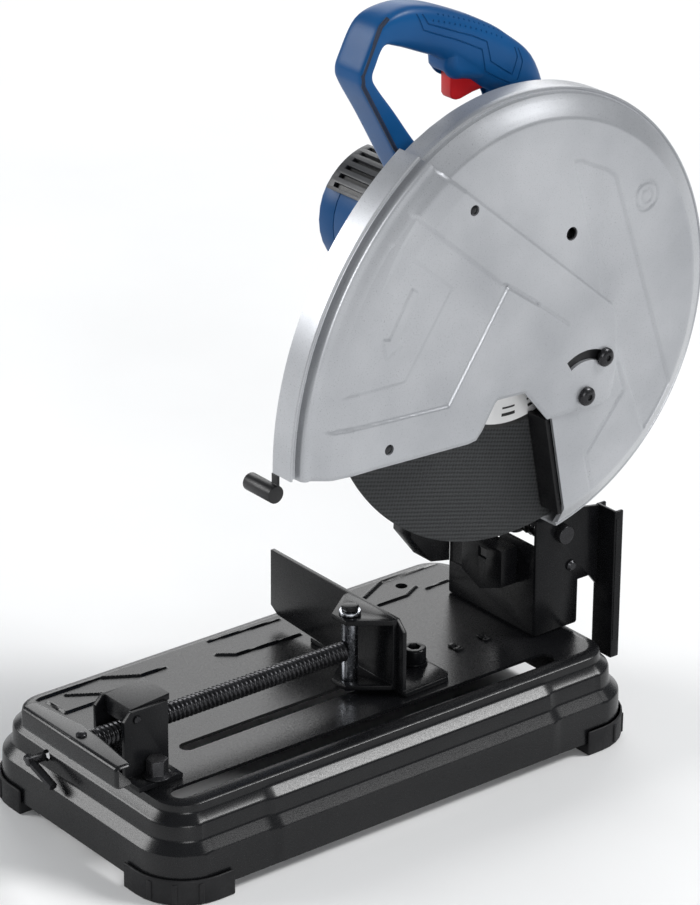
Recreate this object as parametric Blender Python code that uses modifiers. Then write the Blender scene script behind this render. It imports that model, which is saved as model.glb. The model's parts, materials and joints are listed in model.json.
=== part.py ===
"""Abrasive chop saw: pressed base with vise, hinged cutting head, guards, motor and gear train."""
import math

import bmesh
import bpy
from mathutils import Matrix

for stale in list(bpy.data.objects):
    bpy.data.objects.remove(stale, do_unlink=True)

MM = 0.001
GAP = 0.3

# Frame: +X to the operator's right, +Y to the hinge end, +Z up, feet on z = 0.
Y_SHIFT = 7.15

# Base
BASE_HALF_W = 126.0
BASE_FRONT = -259.5
BASE_REAR = 205.5
BASE_CORNER = 42.0
SKIRT_Z = 10.0
TABLE_Z = 76.5
SHEET = 2.5
BASE_SECTION = ((10.0, 0.0), (39.8, 0.9), (47.5, 8.3), (60.5, 9.7), (67.5, 16.6), (74.5, 17.3), (76.5, 21.0))
DISC_X = 90.5
SLOT_W = 17.0
SLOT_Y = (-232.0, 141.0)
GUIDE_W = 13.0
GUIDE_Y = (-184.0, 10.0)
FOOT_ARM = 15.0

# Hinge
PIVOT = (175.7, 162.3)
PEDESTAL_X = (-49.0, 59.0)
PEDESTAL_Y = (148.7, 195.4)
PEDESTAL_TOP = 180.0
WEB_TOP = 106.0
WEB_HIGH = 156.0
WEB_STEP_X = 14.0
STOP_BOLT = (-5.0, 142.9)
PLATE = 3.0
BARREL_R = 18.0
PIVOT_R = 6.0

# Cutting head
SPINDLE = (89.3, 376.3)
MOTOR = (116.0, 401.0)
DISC_R = 177.5
DISC_T = 3.0
GUARD_C = (88.7, 378.0)
GUARD_R = 184.0
GUARD_FACE_R = 163.0
GUARD_X = (84.0, 104.0, 117.3)
GUARD_T = 2.5
FLAP_PIVOT = (140.0, 311.2)
FLAP_R = 274.5
FLAP_FACE_R = 247.0
FLAP_X = (85.6, 107.5, 120.6)
SLOT_PIN_R = 33.2
SLOT_PIN_ANGLE = 57.5
FLAP_SLOT = (57.5, 115.0)

# Motor and gears
GEAR_TEETH = 42
PINION_TEETH = 10
GEAR_X = (50.0, 62.0)
HOUSING_R = 50.0
HOUSING_X = (-98.0, 28.0)

# Vise
SCREW_X = 35.5
SCREW_Z = 110.6
SCREW_R = 8.0
FENCE_Y = 2.0
FENCE_TOP = 140.0
FENCE_X = (-96.0, 72.5)
FENCE_PIVOT = (-25.0, 28.0)
JAW_PIN_Y = -21.0
FENCE_SWING = 22.0
FENCE_BOLT = (38.0, 42.0)
WING_Y = (-287.0, -265.0)
NUT_PIN = (-238.0, 127.0)
NUT_BOLT = (65.0, -227.0)

# Handle
HANDLE_X = 48.0
HANDLE_HALF = 16.5
HANDLE_OUTER = ((60, 400), (-5, 525), (-22.6, 556), (-36.5, 579.5), (-37.2, 588), (-24, 615), (-17, 624), (-7, 629.5),
                (8, 631.5), (26, 629), (55, 619), (90, 602), (119.5, 581.5), (137, 563.5), (147.5, 543), (152, 500),
                (150, 400))
HANDLE_EYE = ((86, 440), (17, 526), (-3.3, 553.5), (-23.5, 579.5), (-24.5, 586.5), (-14, 605), (36, 587.7), (46, 581.5),
              (48.5, 573), (54, 563.5), (66.5, 564), (97, 541.5), (104, 505), (104, 452))
TRIGGER_PIVOT = (92.0, 554.5)
TRIGGER_HALF = 6.0
GLAND = (HANDLE_X, 478.0)

body = bpy.data.collections.new("Abrasive chop saw")
bpy.context.scene.collection.children.link(body)
cutters = bpy.data.collections.new("Cutters")
bpy.context.scene.collection.children.link(cutters)


def material(name, colour, roughness, metallic):
    made = bpy.data.materials.new(name)
    made.use_nodes = True
    shader = made.node_tree.nodes["Principled BSDF"]
    shader.inputs["Base Color"].default_value = (*colour, 1.0)
    shader.inputs["Roughness"].default_value = roughness
    shader.inputs["Metallic"].default_value = metallic
    return made


BLACK = material("black_paint", (0.02, 0.02, 0.022), 0.4, 0.2)
ALU = material("cast_aluminium", (0.72, 0.73, 0.76), 0.4, 0.85)
BLUE = material("blue_plastic", (0.01, 0.11, 0.3), 0.4, 0.0)
RED = material("red_plastic", (0.65, 0.02, 0.03), 0.35, 0.0)
RUBBER = material("black_rubber", (0.015, 0.015, 0.015), 0.8, 0.0)
STEEL = material("bright_steel", (0.6, 0.6, 0.62), 0.25, 1.0)
DARK_STEEL = material("dark_steel", (0.08, 0.08, 0.09), 0.35, 0.9)
PLASTIC = material("black_plastic", (0.02, 0.02, 0.02), 0.5, 0.0)
GRIT = material("abrasive", (0.05, 0.05, 0.06), 0.9, 0.0)
BRONZE = material("bronze", (0.5, 0.33, 0.15), 0.4, 0.9)


def at(x, y, z):
    """A point in metres from millimetres, with the whole saw centred front to back."""
    return (x * MM, (y + Y_SHIFT) * MM, z * MM)


def make(name, verts, faces, look, edges=()):
    """An object from points in millimetres; no look means it is a cutter."""
    mesh = bpy.data.meshes.new(name)
    mesh.from_pydata([tuple(c * MM for c in v) for v in verts], edges, faces)
    mesh.update()
    thing = bpy.data.objects.new(name, mesh)
    if look is None:
        cutters.objects.link(thing)
        thing.hide_render = True
        thing.display_type = "WIRE"
    else:
        body.objects.link(thing)
        mesh.materials.append(look)
    return thing


def tidy_normals(thing):
    work = bmesh.new()
    work.from_mesh(thing.data)
    bmesh.ops.recalc_face_normals(work, faces=work.faces)
    work.to_mesh(thing.data)
    work.free()


def bevel(thing, width, segments=2, angle=40.0):
    mod = thing.modifiers.new("Bevel", "BEVEL")
    mod.width = width * MM
    mod.segments = segments
    mod.limit_method = "ANGLE"
    mod.angle_limit = math.radians(angle)
    return thing


def boolean(thing, other, operation="DIFFERENCE"):
    mod = thing.modifiers.new("Boolean", "BOOLEAN")
    mod.operation = operation
    mod.solver = "EXACT"
    mod.object = other
    return thing


def smooth(thing):
    for face in thing.data.polygons:
        face.use_smooth = True
    thing.data.set_sharp_from_angle(angle=math.radians(35))
    return thing


def box(name, xs, ys, zs, look, soften=0.0):
    work = bmesh.new()
    bmesh.ops.create_cube(work, size=MM)
    bmesh.ops.scale(work, vec=(xs[1] - xs[0], ys[1] - ys[0], zs[1] - zs[0]), verts=work.verts)
    thing = make(name, (), (), look)
    work.to_mesh(thing.data)
    work.free()
    thing.location = at(sum(xs) / 2, sum(ys) / 2, sum(zs) / 2)
    if soften:
        bevel(thing, soften)
    return thing


def outline_solid(name, outline, thickness, look):
    """A flat outline, filled and extruded both ways from its own plane, as a welded mesh."""
    curve = bpy.data.curves.new(name, "CURVE")
    curve.dimensions = "2D"
    curve.fill_mode = "BOTH"
    curve.extrude = thickness * MM / 2
    spline = curve.splines.new("POLY")
    spline.points.add(len(outline) - 1)
    for point, (u, v) in zip(spline.points, outline):
        point.co = (u * MM, v * MM, 0.0, 1.0)
    spline.use_cyclic_u = True
    source = bpy.data.objects.new(name, curve)
    body.objects.link(source)
    shape = bpy.data.meshes.new_from_object(source.evaluated_get(bpy.context.evaluated_depsgraph_get()))
    bpy.data.objects.remove(source, do_unlink=True)
    work = bmesh.new()
    work.from_mesh(shape)
    bmesh.ops.remove_doubles(work, verts=work.verts, dist=0.000001)
    bmesh.ops.dissolve_limit(work, angle_limit=0.001, verts=work.verts, edges=work.edges)
    bmesh.ops.recalc_face_normals(work, faces=work.faces)
    thing = make(name, (), (), look)
    work.to_mesh(thing.data)
    work.free()
    bpy.data.meshes.remove(shape)
    return thing


def prism_x(name, outline, xs, look, origin=(0.0, 0.0), soften=0.0):
    """Extrude a (y, z) outline along X; the origin is the (y, z) point the object turns about."""
    flat = [(y - origin[0], z - origin[1]) for y, z in outline]
    thing = outline_solid(name, flat, xs[1] - xs[0], look)
    thing.data.transform(Matrix(((0, 0, 1, sum(xs) / 2 * MM), (1, 0, 0, 0), (0, 1, 0, 0), (0, 0, 0, 1))))
    thing.location = at(0.0, *origin)
    if soften:
        bevel(thing, soften)
    return thing


def prism_y(name, outline, ys, look, origin=(0.0, 0.0, 0.0)):
    """Extrude an (x, z) outline along Y; the object's origin is the given point."""
    flat = [(x - origin[0], z - origin[2]) for x, z in outline]
    thing = outline_solid(name, flat, ys[1] - ys[0], look)
    middle = (sum(ys) / 2 - origin[1]) * MM
    thing.data.transform(Matrix(((1, 0, 0, 0), (0, 0, -1, middle), (0, 1, 0, 0), (0, 0, 0, 1))))
    thing.location = at(*origin)
    return thing


def prism_z(name, outline, zs, look, origin=(0.0, 0.0), soften=0.0):
    """Extrude an (x, y) outline along Z; the origin is the (x, y) point the object turns about."""
    flat = [(x - origin[0], y - origin[1]) for x, y in outline]
    thing = outline_solid(name, flat, zs[1] - zs[0], look)
    thing.data.transform(Matrix.Translation((0.0, 0.0, sum(zs) / 2 * MM)))
    thing.location = at(origin[0], origin[1], 0.0)
    if soften:
        bevel(thing, soften)
    return thing


AXIS_TURN = {"X": (0.0, math.pi / 2, 0.0), "Y": (-math.pi / 2, 0.0, 0.0), "Z": (0.0, 0.0, 0.0)}


def turned(name, profile, axis, through, look, steps=20, closed=False):
    """Spin a (radius, height) profile about a world axis that passes through a point."""
    verts = [(r, 0.0, h) for r, h in profile]
    edges = [(i, i + 1) for i in range(len(profile) - 1)]
    if closed:
        edges.append((len(profile) - 1, 0))
    thing = make(name, verts, [], look, edges)
    thing.rotation_euler = AXIS_TURN[axis]
    thing.location = at(*through)
    mod = thing.modifiers.new("Screw", "SCREW")
    mod.steps = steps
    mod.render_steps = steps
    mod.use_merge_vertices = True
    mod.merge_threshold = 0.00001
    mod.use_smooth_shade = True
    return thing


def rod_x(name, xs, radius, centre, look, steps=20):
    return turned(name, [(0, xs[1]), (radius, xs[1]), (radius, xs[0]), (0, xs[0])], "X", (0, *centre), look, steps)


def ring_x(name, xs, radii, centre, look, steps=24):
    outer, inner = max(radii), min(radii)
    profile = [(outer, xs[1]), (outer, xs[0]), (inner, xs[0]), (inner, xs[1])]
    return turned(name, profile, "X", (0, *centre), look, steps, closed=True)


def hex_nut_x(name, xs, flats, bore, centre, look):
    nut = rod_x(name, xs, flats / math.sqrt(3), centre, look, 6)
    return boolean(nut, rod_x("cut_" + name, (xs[0] - 5, xs[1] + 5), bore, centre, None))


def rod_z(name, zs, radius, centre, look, steps=16):
    return turned(name, [(0, zs[1]), (radius, zs[1]), (radius, zs[0]), (0, zs[0])], "Z", (*centre, 0), look, steps)


def arc(centre, radius, start, stop, count):
    points = []
    for i in range(count + 1):
        a = math.radians(start + (stop - start) * i / count)
        points.append((centre[0] + radius * math.cos(a), centre[1] + radius * math.sin(a)))
    return points


def rounded_rectangle(half_w, y0, y1, radius, count=6):
    points = arc((half_w - radius, y1 - radius), radius, 0, 90, count)
    points += arc((-half_w + radius, y1 - radius), radius, 90, 180, count)
    points += arc((-half_w + radius, y0 + radius), radius, 180, 270, count)
    points += arc((half_w - radius, y0 + radius), radius, 270, 360, count)
    return points


def slot_outline(x, half, y0, y1, count=8):
    return arc((x, y1 - half), half, 0, 180, count) + arc((x, y0 + half), half, 180, 360, count)


def polar(centre, radius, degrees):
    a = math.radians(degrees)
    return (centre[0] + radius * math.cos(a), centre[1] + radius * math.sin(a))


SLOT_PIN = polar(FLAP_PIVOT, SLOT_PIN_R, SLOT_PIN_ANGLE)


# ---------------------------------------------------------------- base
def base_pan():
    verts = []
    for z, inset in BASE_SECTION:
        ring = rounded_rectangle(BASE_HALF_W - inset, BASE_FRONT + inset, BASE_REAR - inset, BASE_CORNER - inset)
        verts += [(x, y, z) for x, y in ring]
    count = len(verts) // len(BASE_SECTION)
    faces = []
    for level in range(len(BASE_SECTION) - 1):
        low = level * count
        faces += [(low + i, low + (i + 1) % count, low + (i + 1) % count + count, low + i + count)
                  for i in range(count)]
    top = (len(BASE_SECTION) - 1) * count
    faces.append(tuple(range(top, top + count)))
    pan = make("base_pan", verts, faces, BLACK)
    pan.location = at(0, 0, 0)
    shell = pan.modifiers.new("Solidify", "SOLIDIFY")
    shell.thickness = SHEET * MM
    shell.offset = -1.0
    slot = prism_z("cut_disc_slot", slot_outline(DISC_X, SLOT_W / 2, *SLOT_Y), (60, 90), None)
    guide = prism_z("cut_guide_slot", slot_outline(SCREW_X, GUIDE_W / 2, *GUIDE_Y), (60, 90), None)
    boolean(pan, slot)
    boolean(pan, guide)
    return smooth(pan)


def corner_foot(name, side_x, side_y):
    """Rubber corner: a lipped strip that runs round one corner of the skirt."""
    section = ((-14.0, 0.0), (3.0, 0.0), (3.0, 21.0), (0.6, 21.0), (0.6, 9.7), (-14.0, 9.7))
    y_end = BASE_REAR if side_y > 0 else BASE_FRONT
    centre = (side_x * (BASE_HALF_W - BASE_CORNER), y_end - side_y * BASE_CORNER)
    path = [((side_x * 1.0, 0.0), (0.0, -side_y * FOOT_ARM))]
    for i in range(9):
        a = math.radians(90 * i / 8)
        path.append(((side_x * math.cos(a), side_y * math.sin(a)), (0.0, 0.0)))
    path.append(((0.0, side_y * 1.0), (-side_x * FOOT_ARM, 0.0)))
    verts = []
    for (nx, ny), (sx, sy) in path:
        for out, z in section:
            reach = BASE_CORNER + out
            verts.append((centre[0] + nx * reach + sx, centre[1] + ny * reach + sy, z))
    size = len(section)
    faces = [tuple(range(size)), tuple(range(len(verts) - size, len(verts)))]
    for p in range(len(path) - 1):
        faces += [(p * size + i, p * size + (i + 1) % size, (p + 1) * size + (i + 1) % size, (p + 1) * size + i)
                  for i in range(size)]
    foot = make(name, verts, faces, RUBBER)
    foot.location = at(0, 0, 0)
    tidy_normals(foot)
    return foot


base_pan()
corner_foot("foot_front_right", 1, -1)
corner_foot("foot_front_left", -1, -1)
corner_foot("foot_rear_right", 1, 1)
corner_foot("foot_rear_left", -1, 1)


# ---------------------------------------------------------------- hinge
def hinge_pedestal():
    x0, x1 = PEDESTAL_X
    y0, y1 = PEDESTAL_Y
    z0 = TABLE_Z + GAP
    bracket = box("hinge_pedestal", (x0, x1), (y0, y1), (z0, PEDESTAL_TOP), BLACK, 2.5)
    inside = box("cut_pedestal_inside", (x0 + PLATE, x1 - PLATE), (y0 + PLATE, y1 + 9), (z0 + PLATE, 200), None)
    opening = [(x0 + PLATE, WEB_TOP), (WEB_STEP_X, WEB_TOP), (WEB_STEP_X, WEB_HIGH), (x1 - PLATE, WEB_HIGH),
               (x1 - PLATE, 200), (x0 + PLATE, 200)]
    above_web = prism_y("cut_pedestal_web", opening, (y0 - 9, y0 + 9), None)
    slope = prism_x("cut_cheek_slope", [(140, 176), (164, 190), (140, 190)], (x0 - 9, x1 + 9), None)
    tail = prism_x("add_pedestal_tail", [(y1 - 4, 116), (y1 + 11, 116), (y1 + 19, 106), (y1 + 19, 176), (y1 - 4, 180)],
                   (x1 - PLATE, x1), None)
    bore = rod_x("cut_pedestal_bore", (x0 - 9, x1 + 9), PIVOT_R + GAP, PIVOT, None)
    boolean(bracket, inside)
    boolean(bracket, above_web)
    boolean(bracket, slope)
    boolean(bracket, tail, "UNION")
    boolean(bracket, bore)


def stop_bracket():
    x0, x1 = -16.0, 36.5
    y0, y1 = 132.0, PEDESTAL_Y[0] - GAP
    frame = box("stop_bracket", (x0, x1), (y0, y1), (WEB_TOP, 150), BLACK)
    corner = prism_z("cut_bracket_corner", [(x0 - 5, y0 - 5), (x0 + 9, y0 - 5), (x0 - 5, y0 + 9)], (90, 160), None)
    under = [(x0 - 5, 100), (x1 + 5, 100), (x1 + 5, 120), (11, 108), (x0 - 5, 121)]
    vee = prism_y("cut_bracket_vee", under, (y0 - 9, y1 + 9), None)
    inside = box("cut_bracket_inside", (x0 + PLATE, x1 - PLATE), (y0 + PLATE, y1 + 5), (90, 150 - PLATE), None)
    window = box("cut_bracket_window", (8, 18), (y0 - 5, y0 + 8), (136, 145), None)
    hole = rod_z("cut_bracket_bolt", (140, 160), 3.3, STOP_BOLT, None, 16)
    for tool in (corner, inside, vee, window, hole):
        boolean(frame, tool)
    turned("stop_bolt", [(0, 151.7), (4.6, 151.7), (4.6, 150 + GAP), (3.0, 150 + GAP), (3.0, 136), (0, 136)], "Z",
           (*STOP_BOLT, 0), STEEL, 12)


def spark_guard():
    plate = box("spark_guard", (54.5, 78.0), (214.7 + GAP, 224.0), (46.0, 176.0), BLACK)
    inside = box("cut_spark_guard", (57.5, 75.0), (218.0 + GAP, 230.0), (40.0, 180.0), None)
    boolean(plate, inside)


def pivot_parts():
    y, z = PIVOT
    x0, x1 = PEDESTAL_X
    turned("pivot_bolt", [(0, x1 + 6.3), (7.8, x1 + 6.3), (7.8, x1 + GAP), (PIVOT_R, x1 + GAP), (PIVOT_R, x0 - 9),
                          (0, x0 - 9)], "X", (0, y, z), STEEL)
    hex_nut_x("pivot_nut", (x0 - 8.3, x0 - GAP), 18.0, PIVOT_R + 0.15, PIVOT, STEEL)
    for name, xs in (("arm_bush_left", (-44.0, -26.0)), ("arm_bush_right", (-10.0, 8.0))):
        ring_x(name, xs, (9.0, PIVOT_R + 0.15), PIVOT, BRONZE, 20)


def coil(name, xs, mean_r, wire, turns, centre, look):
    """A torsion spring as a poly curve with a round section and closed ends."""
    curve = bpy.data.curves.new(name, "CURVE")
    curve.dimensions = "3D"
    curve.bevel_depth = wire * MM / 2
    curve.bevel_resolution = 0
    curve.use_fill_caps = True
    spline = curve.splines.new("POLY")
    count = int(turns * 12) + 1
    spline.points.add(count - 1)
    for i in range(count):
        a = math.tau * i / 12
        x = xs[0] + (xs[1] - xs[0]) * i / (count - 1)
        spline.points[i].co = (x * MM, mean_r * MM * math.cos(a), mean_r * MM * math.sin(a), 1.0)
    curve.materials.append(look)
    thing = bpy.data.objects.new(name, curve)
    thing.location = at(0, *centre)
    body.objects.link(thing)
    return thing


hinge_pedestal()
stop_bracket()
spark_guard()
pivot_parts()
coil("return_spring", (20.0, 50.0), 11.5, 3.2, 6.5, PIVOT, DARK_STEEL)


# ---------------------------------------------------------------- vise
def fence():
    y1 = FENCE_Y + 4.0
    upright = [(FENCE_X[0] + 9, 85), (FENCE_X[1], 77), (FENCE_X[1], FENCE_TOP - 9), (FENCE_X[1] - 9, FENCE_TOP),
               (FENCE_X[0], FENCE_TOP), (FENCE_X[0], 91)]
    turn = FENCE_PIVOT
    plate = prism_y("fence", upright, (FENCE_Y, y1), BLACK, (*turn, 0.0))
    z0 = TABLE_Z + GAP
    foot = prism_z("add_fence_foot", [(-45, y1 - 3), (76, y1 - 3), (74, 46), (68, 52), (-20, 52), (-45, 30)],
                   (z0, z0 + 4), None)
    boolean(plate, foot, "UNION")
    hole = rod_z("cut_fence_pivot", (70, 90), 4.3, turn, None)
    r = math.dist(turn, FENCE_BOLT)
    a = math.degrees(math.atan2(FENCE_BOLT[1] - turn[1], FENCE_BOLT[0] - turn[0]))
    sweep = FENCE_SWING + 5
    track = arc(turn, r + 4.7, a - sweep, a + 5, 12) + arc(turn, r - 4.7, a + 5, a - sweep, 12)
    boolean(plate, hole)
    boolean(plate, prism_z("cut_fence_track", track, (70, 90), None))


def bolt_down(name, spot, shank, head, base_z, tall):
    """A bolt that stands on a plate and reaches through the table top."""
    low = TABLE_Z - 12
    turned(name, [(0, base_z + tall), (head * 0.55, base_z + tall), (head * 0.55, base_z + 2.5), (head, base_z + 2.5),
                  (head, base_z), (shank, base_z), (shank, low), (0, low)], "Z", (*spot, 0), STEEL, 16)


fence()
bolt_down("fence_pivot_bolt", FENCE_PIVOT, 4.0, 9.0, TABLE_Z + 4.6, 8.0)
bolt_down("fence_clamp_bolt", FENCE_BOLT, 4.0, 11.0, TABLE_Z + 4.6, 16.0)


def table_holes():
    pan = bpy.data.objects["base_pan"]
    for name, spot, radius in (("pivot", FENCE_PIVOT, 4.3), ("clamp", FENCE_BOLT, 4.3), ("rear", (-81, 126), 5.0)):
        boolean(pan, rod_z("cut_table_" + name, (60, 90), radius, spot, None))
    key_hole = turned("cut_key_hole", [(0, -240), (4.6, -240), (4.6, -280), (0, -280)], "Y", (-48, 0, 57), None, 16)
    boolean(pan, key_hole)


table_holes()


def movable_jaw():
    x = SCREW_X
    back = FENCE_Y - GAP
    ear = [(x - 30, back), (x - 30, back - 5), (x - 9, JAW_PIN_Y - 11), (x + 9, JAW_PIN_Y - 11), (x + 30, back - 5),
           (x + 30, back)]
    jaw = prism_z("jaw_bracket", ear, (81.0, 141.0), BLACK, (x, JAW_PIN_Y))
    throat = box("cut_jaw_throat", (x - 50, x + 50), (JAW_PIN_Y - 30, back - 4), (85.0, 137.0), None)
    hole = rod_z("cut_jaw_pin", (70, 150), 6.9, (x, JAW_PIN_Y), None)
    boolean(jaw, throat)
    boolean(jaw, hole)
    pin = turned("jaw_pin", [(0, 144.5), (8.6, 144.5), (8.6, 141.3), (6.6, 141.3), (6.6, 79.0), (0, 79.0)], "Z",
                 (x, JAW_PIN_Y, 0), STEEL)
    boolean(pin, turned("cut_pin_seat", [(0, 0), (4.3, 0), (4.3, -40), (0, -40)], "Y", (x, 0, SCREW_Z), None))


def clamp_screw():
    tip = JAW_PIN_Y
    neck = JAW_PIN_Y - 7.5
    turned("clamp_screw", [(0, tip), (4.0, tip), (4.0, neck), (SCREW_R, neck), (SCREW_R, WING_Y[1] + GAP),
                           (4.0, WING_Y[1] + GAP), (4.0, WING_Y[0] + 4), (0, WING_Y[0] + 4)], "Y",
           (SCREW_X, 0, SCREW_Z), DARK_STEEL)


def wing_handle():
    x, z = SCREW_X, SCREW_Z
    y0, y1 = WING_Y
    outline = [(x - 63, y0), (x + 63, y0), (x + 63, y1 - 7), (x + 12, y1), (x - 12, y1), (x - 63, y1 - 7)]
    wing = prism_z("wing_handle", outline, (-9.5, 9.5), BLACK, (x, 0))
    wing.location = at(x, 0, z)
    boolean(wing, box("cut_wing", (x - 70, x + 70), (y0 + 2.5, y1 + 9), (z - 7.3, z + 7.3), None))
    hub = turned("add_wing_hub", [(9.0, y1 - 1), (9.0, y0 + 1.5), (4.3, y0 + 1.5), (4.3, y1 - 1)], "Y", (x, 0, z),
                 None, 24, closed=True)
    boolean(wing, hub, "UNION")


movable_jaw()
clamp_screw()
wing_handle()


def spindle_nut():
    x, z = SCREW_X, SCREW_Z
    y0, y1 = -249.5, -209.5
    z0 = TABLE_Z + GAP
    block = box("nut_bracket", (x - 20, x + 38), (y0, y1), (z0, 134.0), BLACK)
    side = box("cut_nut_side", (x + 20, x + 60), (y0 - 5, y1 + 5), (z0 + 4, 150.0), None)
    throat = box("cut_nut_throat", (x - 16.5, x + 16.5), (y0 - 5, y1 + 5), (z0 + 4, 150.0), None)
    nose = prism_x("cut_nut_nose", [(y0 - 5, 122), (y0 + 12, 140), (y0 - 5, 140)], (0, 80), None)
    pin_bore = rod_x("cut_nut_pin", (0, 80), 3.3, NUT_PIN, None, 16)
    hole = rod_z("cut_nut_bolt", (60, 90), 4.3, NUT_BOLT, None, 16)
    for tool in (side, throat, nose, pin_bore, hole):
        boolean(block, tool)
    boolean(bpy.data.objects["base_pan"], rod_z("cut_table_nut", (60, 90), 4.3, NUT_BOLT, None, 16))
    rod_x("latch_pin", (x - 21.5, x + 21.5), 3.0, NUT_PIN, STEEL, 16)
    lower = [(y0 + 14, z0 + 4.3), (y1, z0 + 4.3), (y1, z - 1), (y0 + 14, z - 1)]
    saddle = prism_x("half_nut", lower, (x - 16.2, x + 16.2), DARK_STEEL)
    boolean(saddle, turned("cut_saddle", [(0, y1 + 9), (SCREW_R + GAP, y1 + 9), (SCREW_R + GAP, y0 - 9), (0, y0 - 9)],
                           "Y", (x, 0, z), None, 24))
    upper = [(y0 + 6.5, z + 10.9), (y0 + 8.5, z + 24), (y1 + 4, z + 27), (y1 + 4, z + 22), (y1, z + 20), (y1, z + 1),
             (y0 + 16.5, z + 1), (y0 + 16.5, z + 8)]
    latch = prism_x("release_latch", upper, (x - 16.2, x + 16.2), BLACK, NUT_PIN)
    thread = turned("cut_latch", [(0, y1 + 9), (SCREW_R + GAP, y1 + 9), (SCREW_R + GAP, y0 - 9), (0, y0 - 9)], "Y",
                    (x, 0, z), None, 24)
    boolean(latch, thread)
    boolean(latch, rod_x("cut_latch_pin", (0, 80), 3.3, NUT_PIN, None, 16))
    bolt_down("nut_bolt", NUT_BOLT, 4.0, 9.0, z0 + 4.3, 14.5)


spindle_nut()


def hex_key():
    """Stored hex key: a short leg in the skirt hole and a long leg along the front."""
    key = turned("hex_key", [(0, -252), (3.6, -252), (3.6, -268), (0, -268)], "Y", (-48, 0, 57), DARK_STEEL, 6)
    leg = turned("add_key_leg", [(0, 33), (3.6, 33), (3.6, -4), (0, -4)], "X", (-50, -264.4, 57), None, 6)
    leg.rotation_euler = (0.0, math.pi / 2 + 0.3, 0.0)
    boolean(key, leg, "UNION")


hex_key()


# ---------------------------------------------------------------- arm and gear case
def from_pivot(radius, degrees):
    return polar(PIVOT, radius, degrees)


def arm_casting():
    y, z = PIVOT
    arm = rod_x("arm_casting", (-44, 8), BARREL_R, PIVOT, BLACK, 32)
    beam = [(y - 10, z + 6), from_pivot(73, 147), (y - 76, z + 60), (y - 116, z + 148), (y - 116, z + 169),
            (y - 42, z + 169), (y - 8, z + 120), (y + 15, z + 10)]
    lug = [from_pivot(75, 142), from_pivot(73, 150), from_pivot(73, 165), from_pivot(73, 180), (y - 73, z - 22),
           (y - 92, z - 18), (y - 113, z + 9), (y - 112, z + 60), (y - 90, z + 90), (y - 76, z + 62)]
    head = [(y - 116, z + 150), (y - 116, z + 170.2), (y - 42, z + 170.2), (y - 42, z + 150)]
    boolean(arm, prism_x("add_arm_beam", beam, (-44, 7.5), None), "UNION")
    boolean(arm, prism_x("add_arm_lug", lug, (-15, 7), None), "UNION")
    boolean(arm, prism_x("add_arm_head", head, (-30, 70), None), "UNION")
    boolean(arm, rod_x("cut_arm_bore", (-60, 20), 9.3, PIVOT, None))


def gear_case_outline(grow, count=10):
    """Oval that wraps the large gear and the pinion."""
    heading = math.degrees(math.atan2(MOTOR[1] - SPINDLE[1], MOTOR[0] - SPINDLE[0]))
    big = arc(SPINDLE, 43.5 + grow, heading + 75, heading + 285, 2 * count)
    small = arc(MOTOR, 37 + grow, heading - 80, heading + 80, count)
    return big + small


def gear_case():
    x0 = HOUSING_X[1] + GAP
    case = prism_x("gear_housing", gear_case_outline(0), (x0, 72), ALU)
    boolean(case, rod_x("add_case_flange", (x0, x0 + 2.9), HOUSING_R, MOTOR, None, 32), "UNION")
    boolean(case, prism_x("cut_gear_case", gear_case_outline(-4), (34, 80), None))
    for name, centre, radius in (("spindle", SPINDLE, 17.3), ("motor", MOTOR, 13.3)):
        boolean(case, rod_x("cut_case_" + name, (20, 60), radius, centre, None, 32))
    cover = prism_x("gear_cover", gear_case_outline(0), (72 + GAP, 77), ALU)
    seat = GUARD_X[0] - GAP
    collar = turned("add_cover_collar", [(58, seat), (58, 74), (18, 74), (18, 79), (46, 79), (46, seat)], "X",
                    (0, *SPINDLE), None, 32, closed=True)
    boolean(cover, collar, "UNION")
    boolean(cover, rod_x("cut_cover_bore", (60, 90), 21.3, SPINDLE, None, 32))


def motor_case():
    y, z = MOTOR
    x0, x1 = HOUSING_X
    ring_x("motor_housing", (x0, x1), (HOUSING_R, HOUSING_R - 3), MOTOR, BLUE, 32)
    r = HOUSING_R
    cup = [(r, x0 - GAP), (r, x0 - 18), (r - 5, x0 - 24), (13.2, x0 - 24), (13.2, x0 - 3), (16.5, x0 - 3),
           (16.5, x0 - 21), (r - 7, x0 - 21), (r - 3, x0 - 17), (r - 3, x0 - GAP)]
    cap = turned("motor_end_cap", cup, "X", (0, y, z), BLUE, 32, closed=True)
    for i in range(6):
        vent = box("cut_vent_%d" % i, (x0 - 30, x0 - 18), (y + 22, y + 34), (z - 2, z + 2), None)
        vent.data.transform(Matrix.Translation((0, 28 * MM, 0)))
        vent.location = at(x0 - 24, y, z)
        vent.rotation_euler = (math.radians(60 * i + 30), 0, 0)
        boolean(cap, vent)


def vent_cover():
    """Ribbed grille that sits over the front upper quarter of the motor housing."""
    outer = arc(MOTOR, HOUSING_R + 2.8, 96, 149, 10)
    inner = arc(MOTOR, HOUSING_R + GAP, 149, 96, 10)
    grille = prism_x("vent_cover", outer + inner, (HOUSING_X[0] - 18, 10), PLASTIC)
    for i in range(6):
        slot = box("cut_grille_%d" % i, (0, 104), (0, 6), (-1.9, 1.9), None)
        slot.data.transform(Matrix.Translation((0, (HOUSING_R + 2) * MM, 0)))
        slot.location = at(-53, *MOTOR)
        slot.rotation_euler = (math.radians(101 + 8.6 * i), 0, 0)
        boolean(grille, slot)


arm_casting()
gear_case()
motor_case()
vent_cover()


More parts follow.
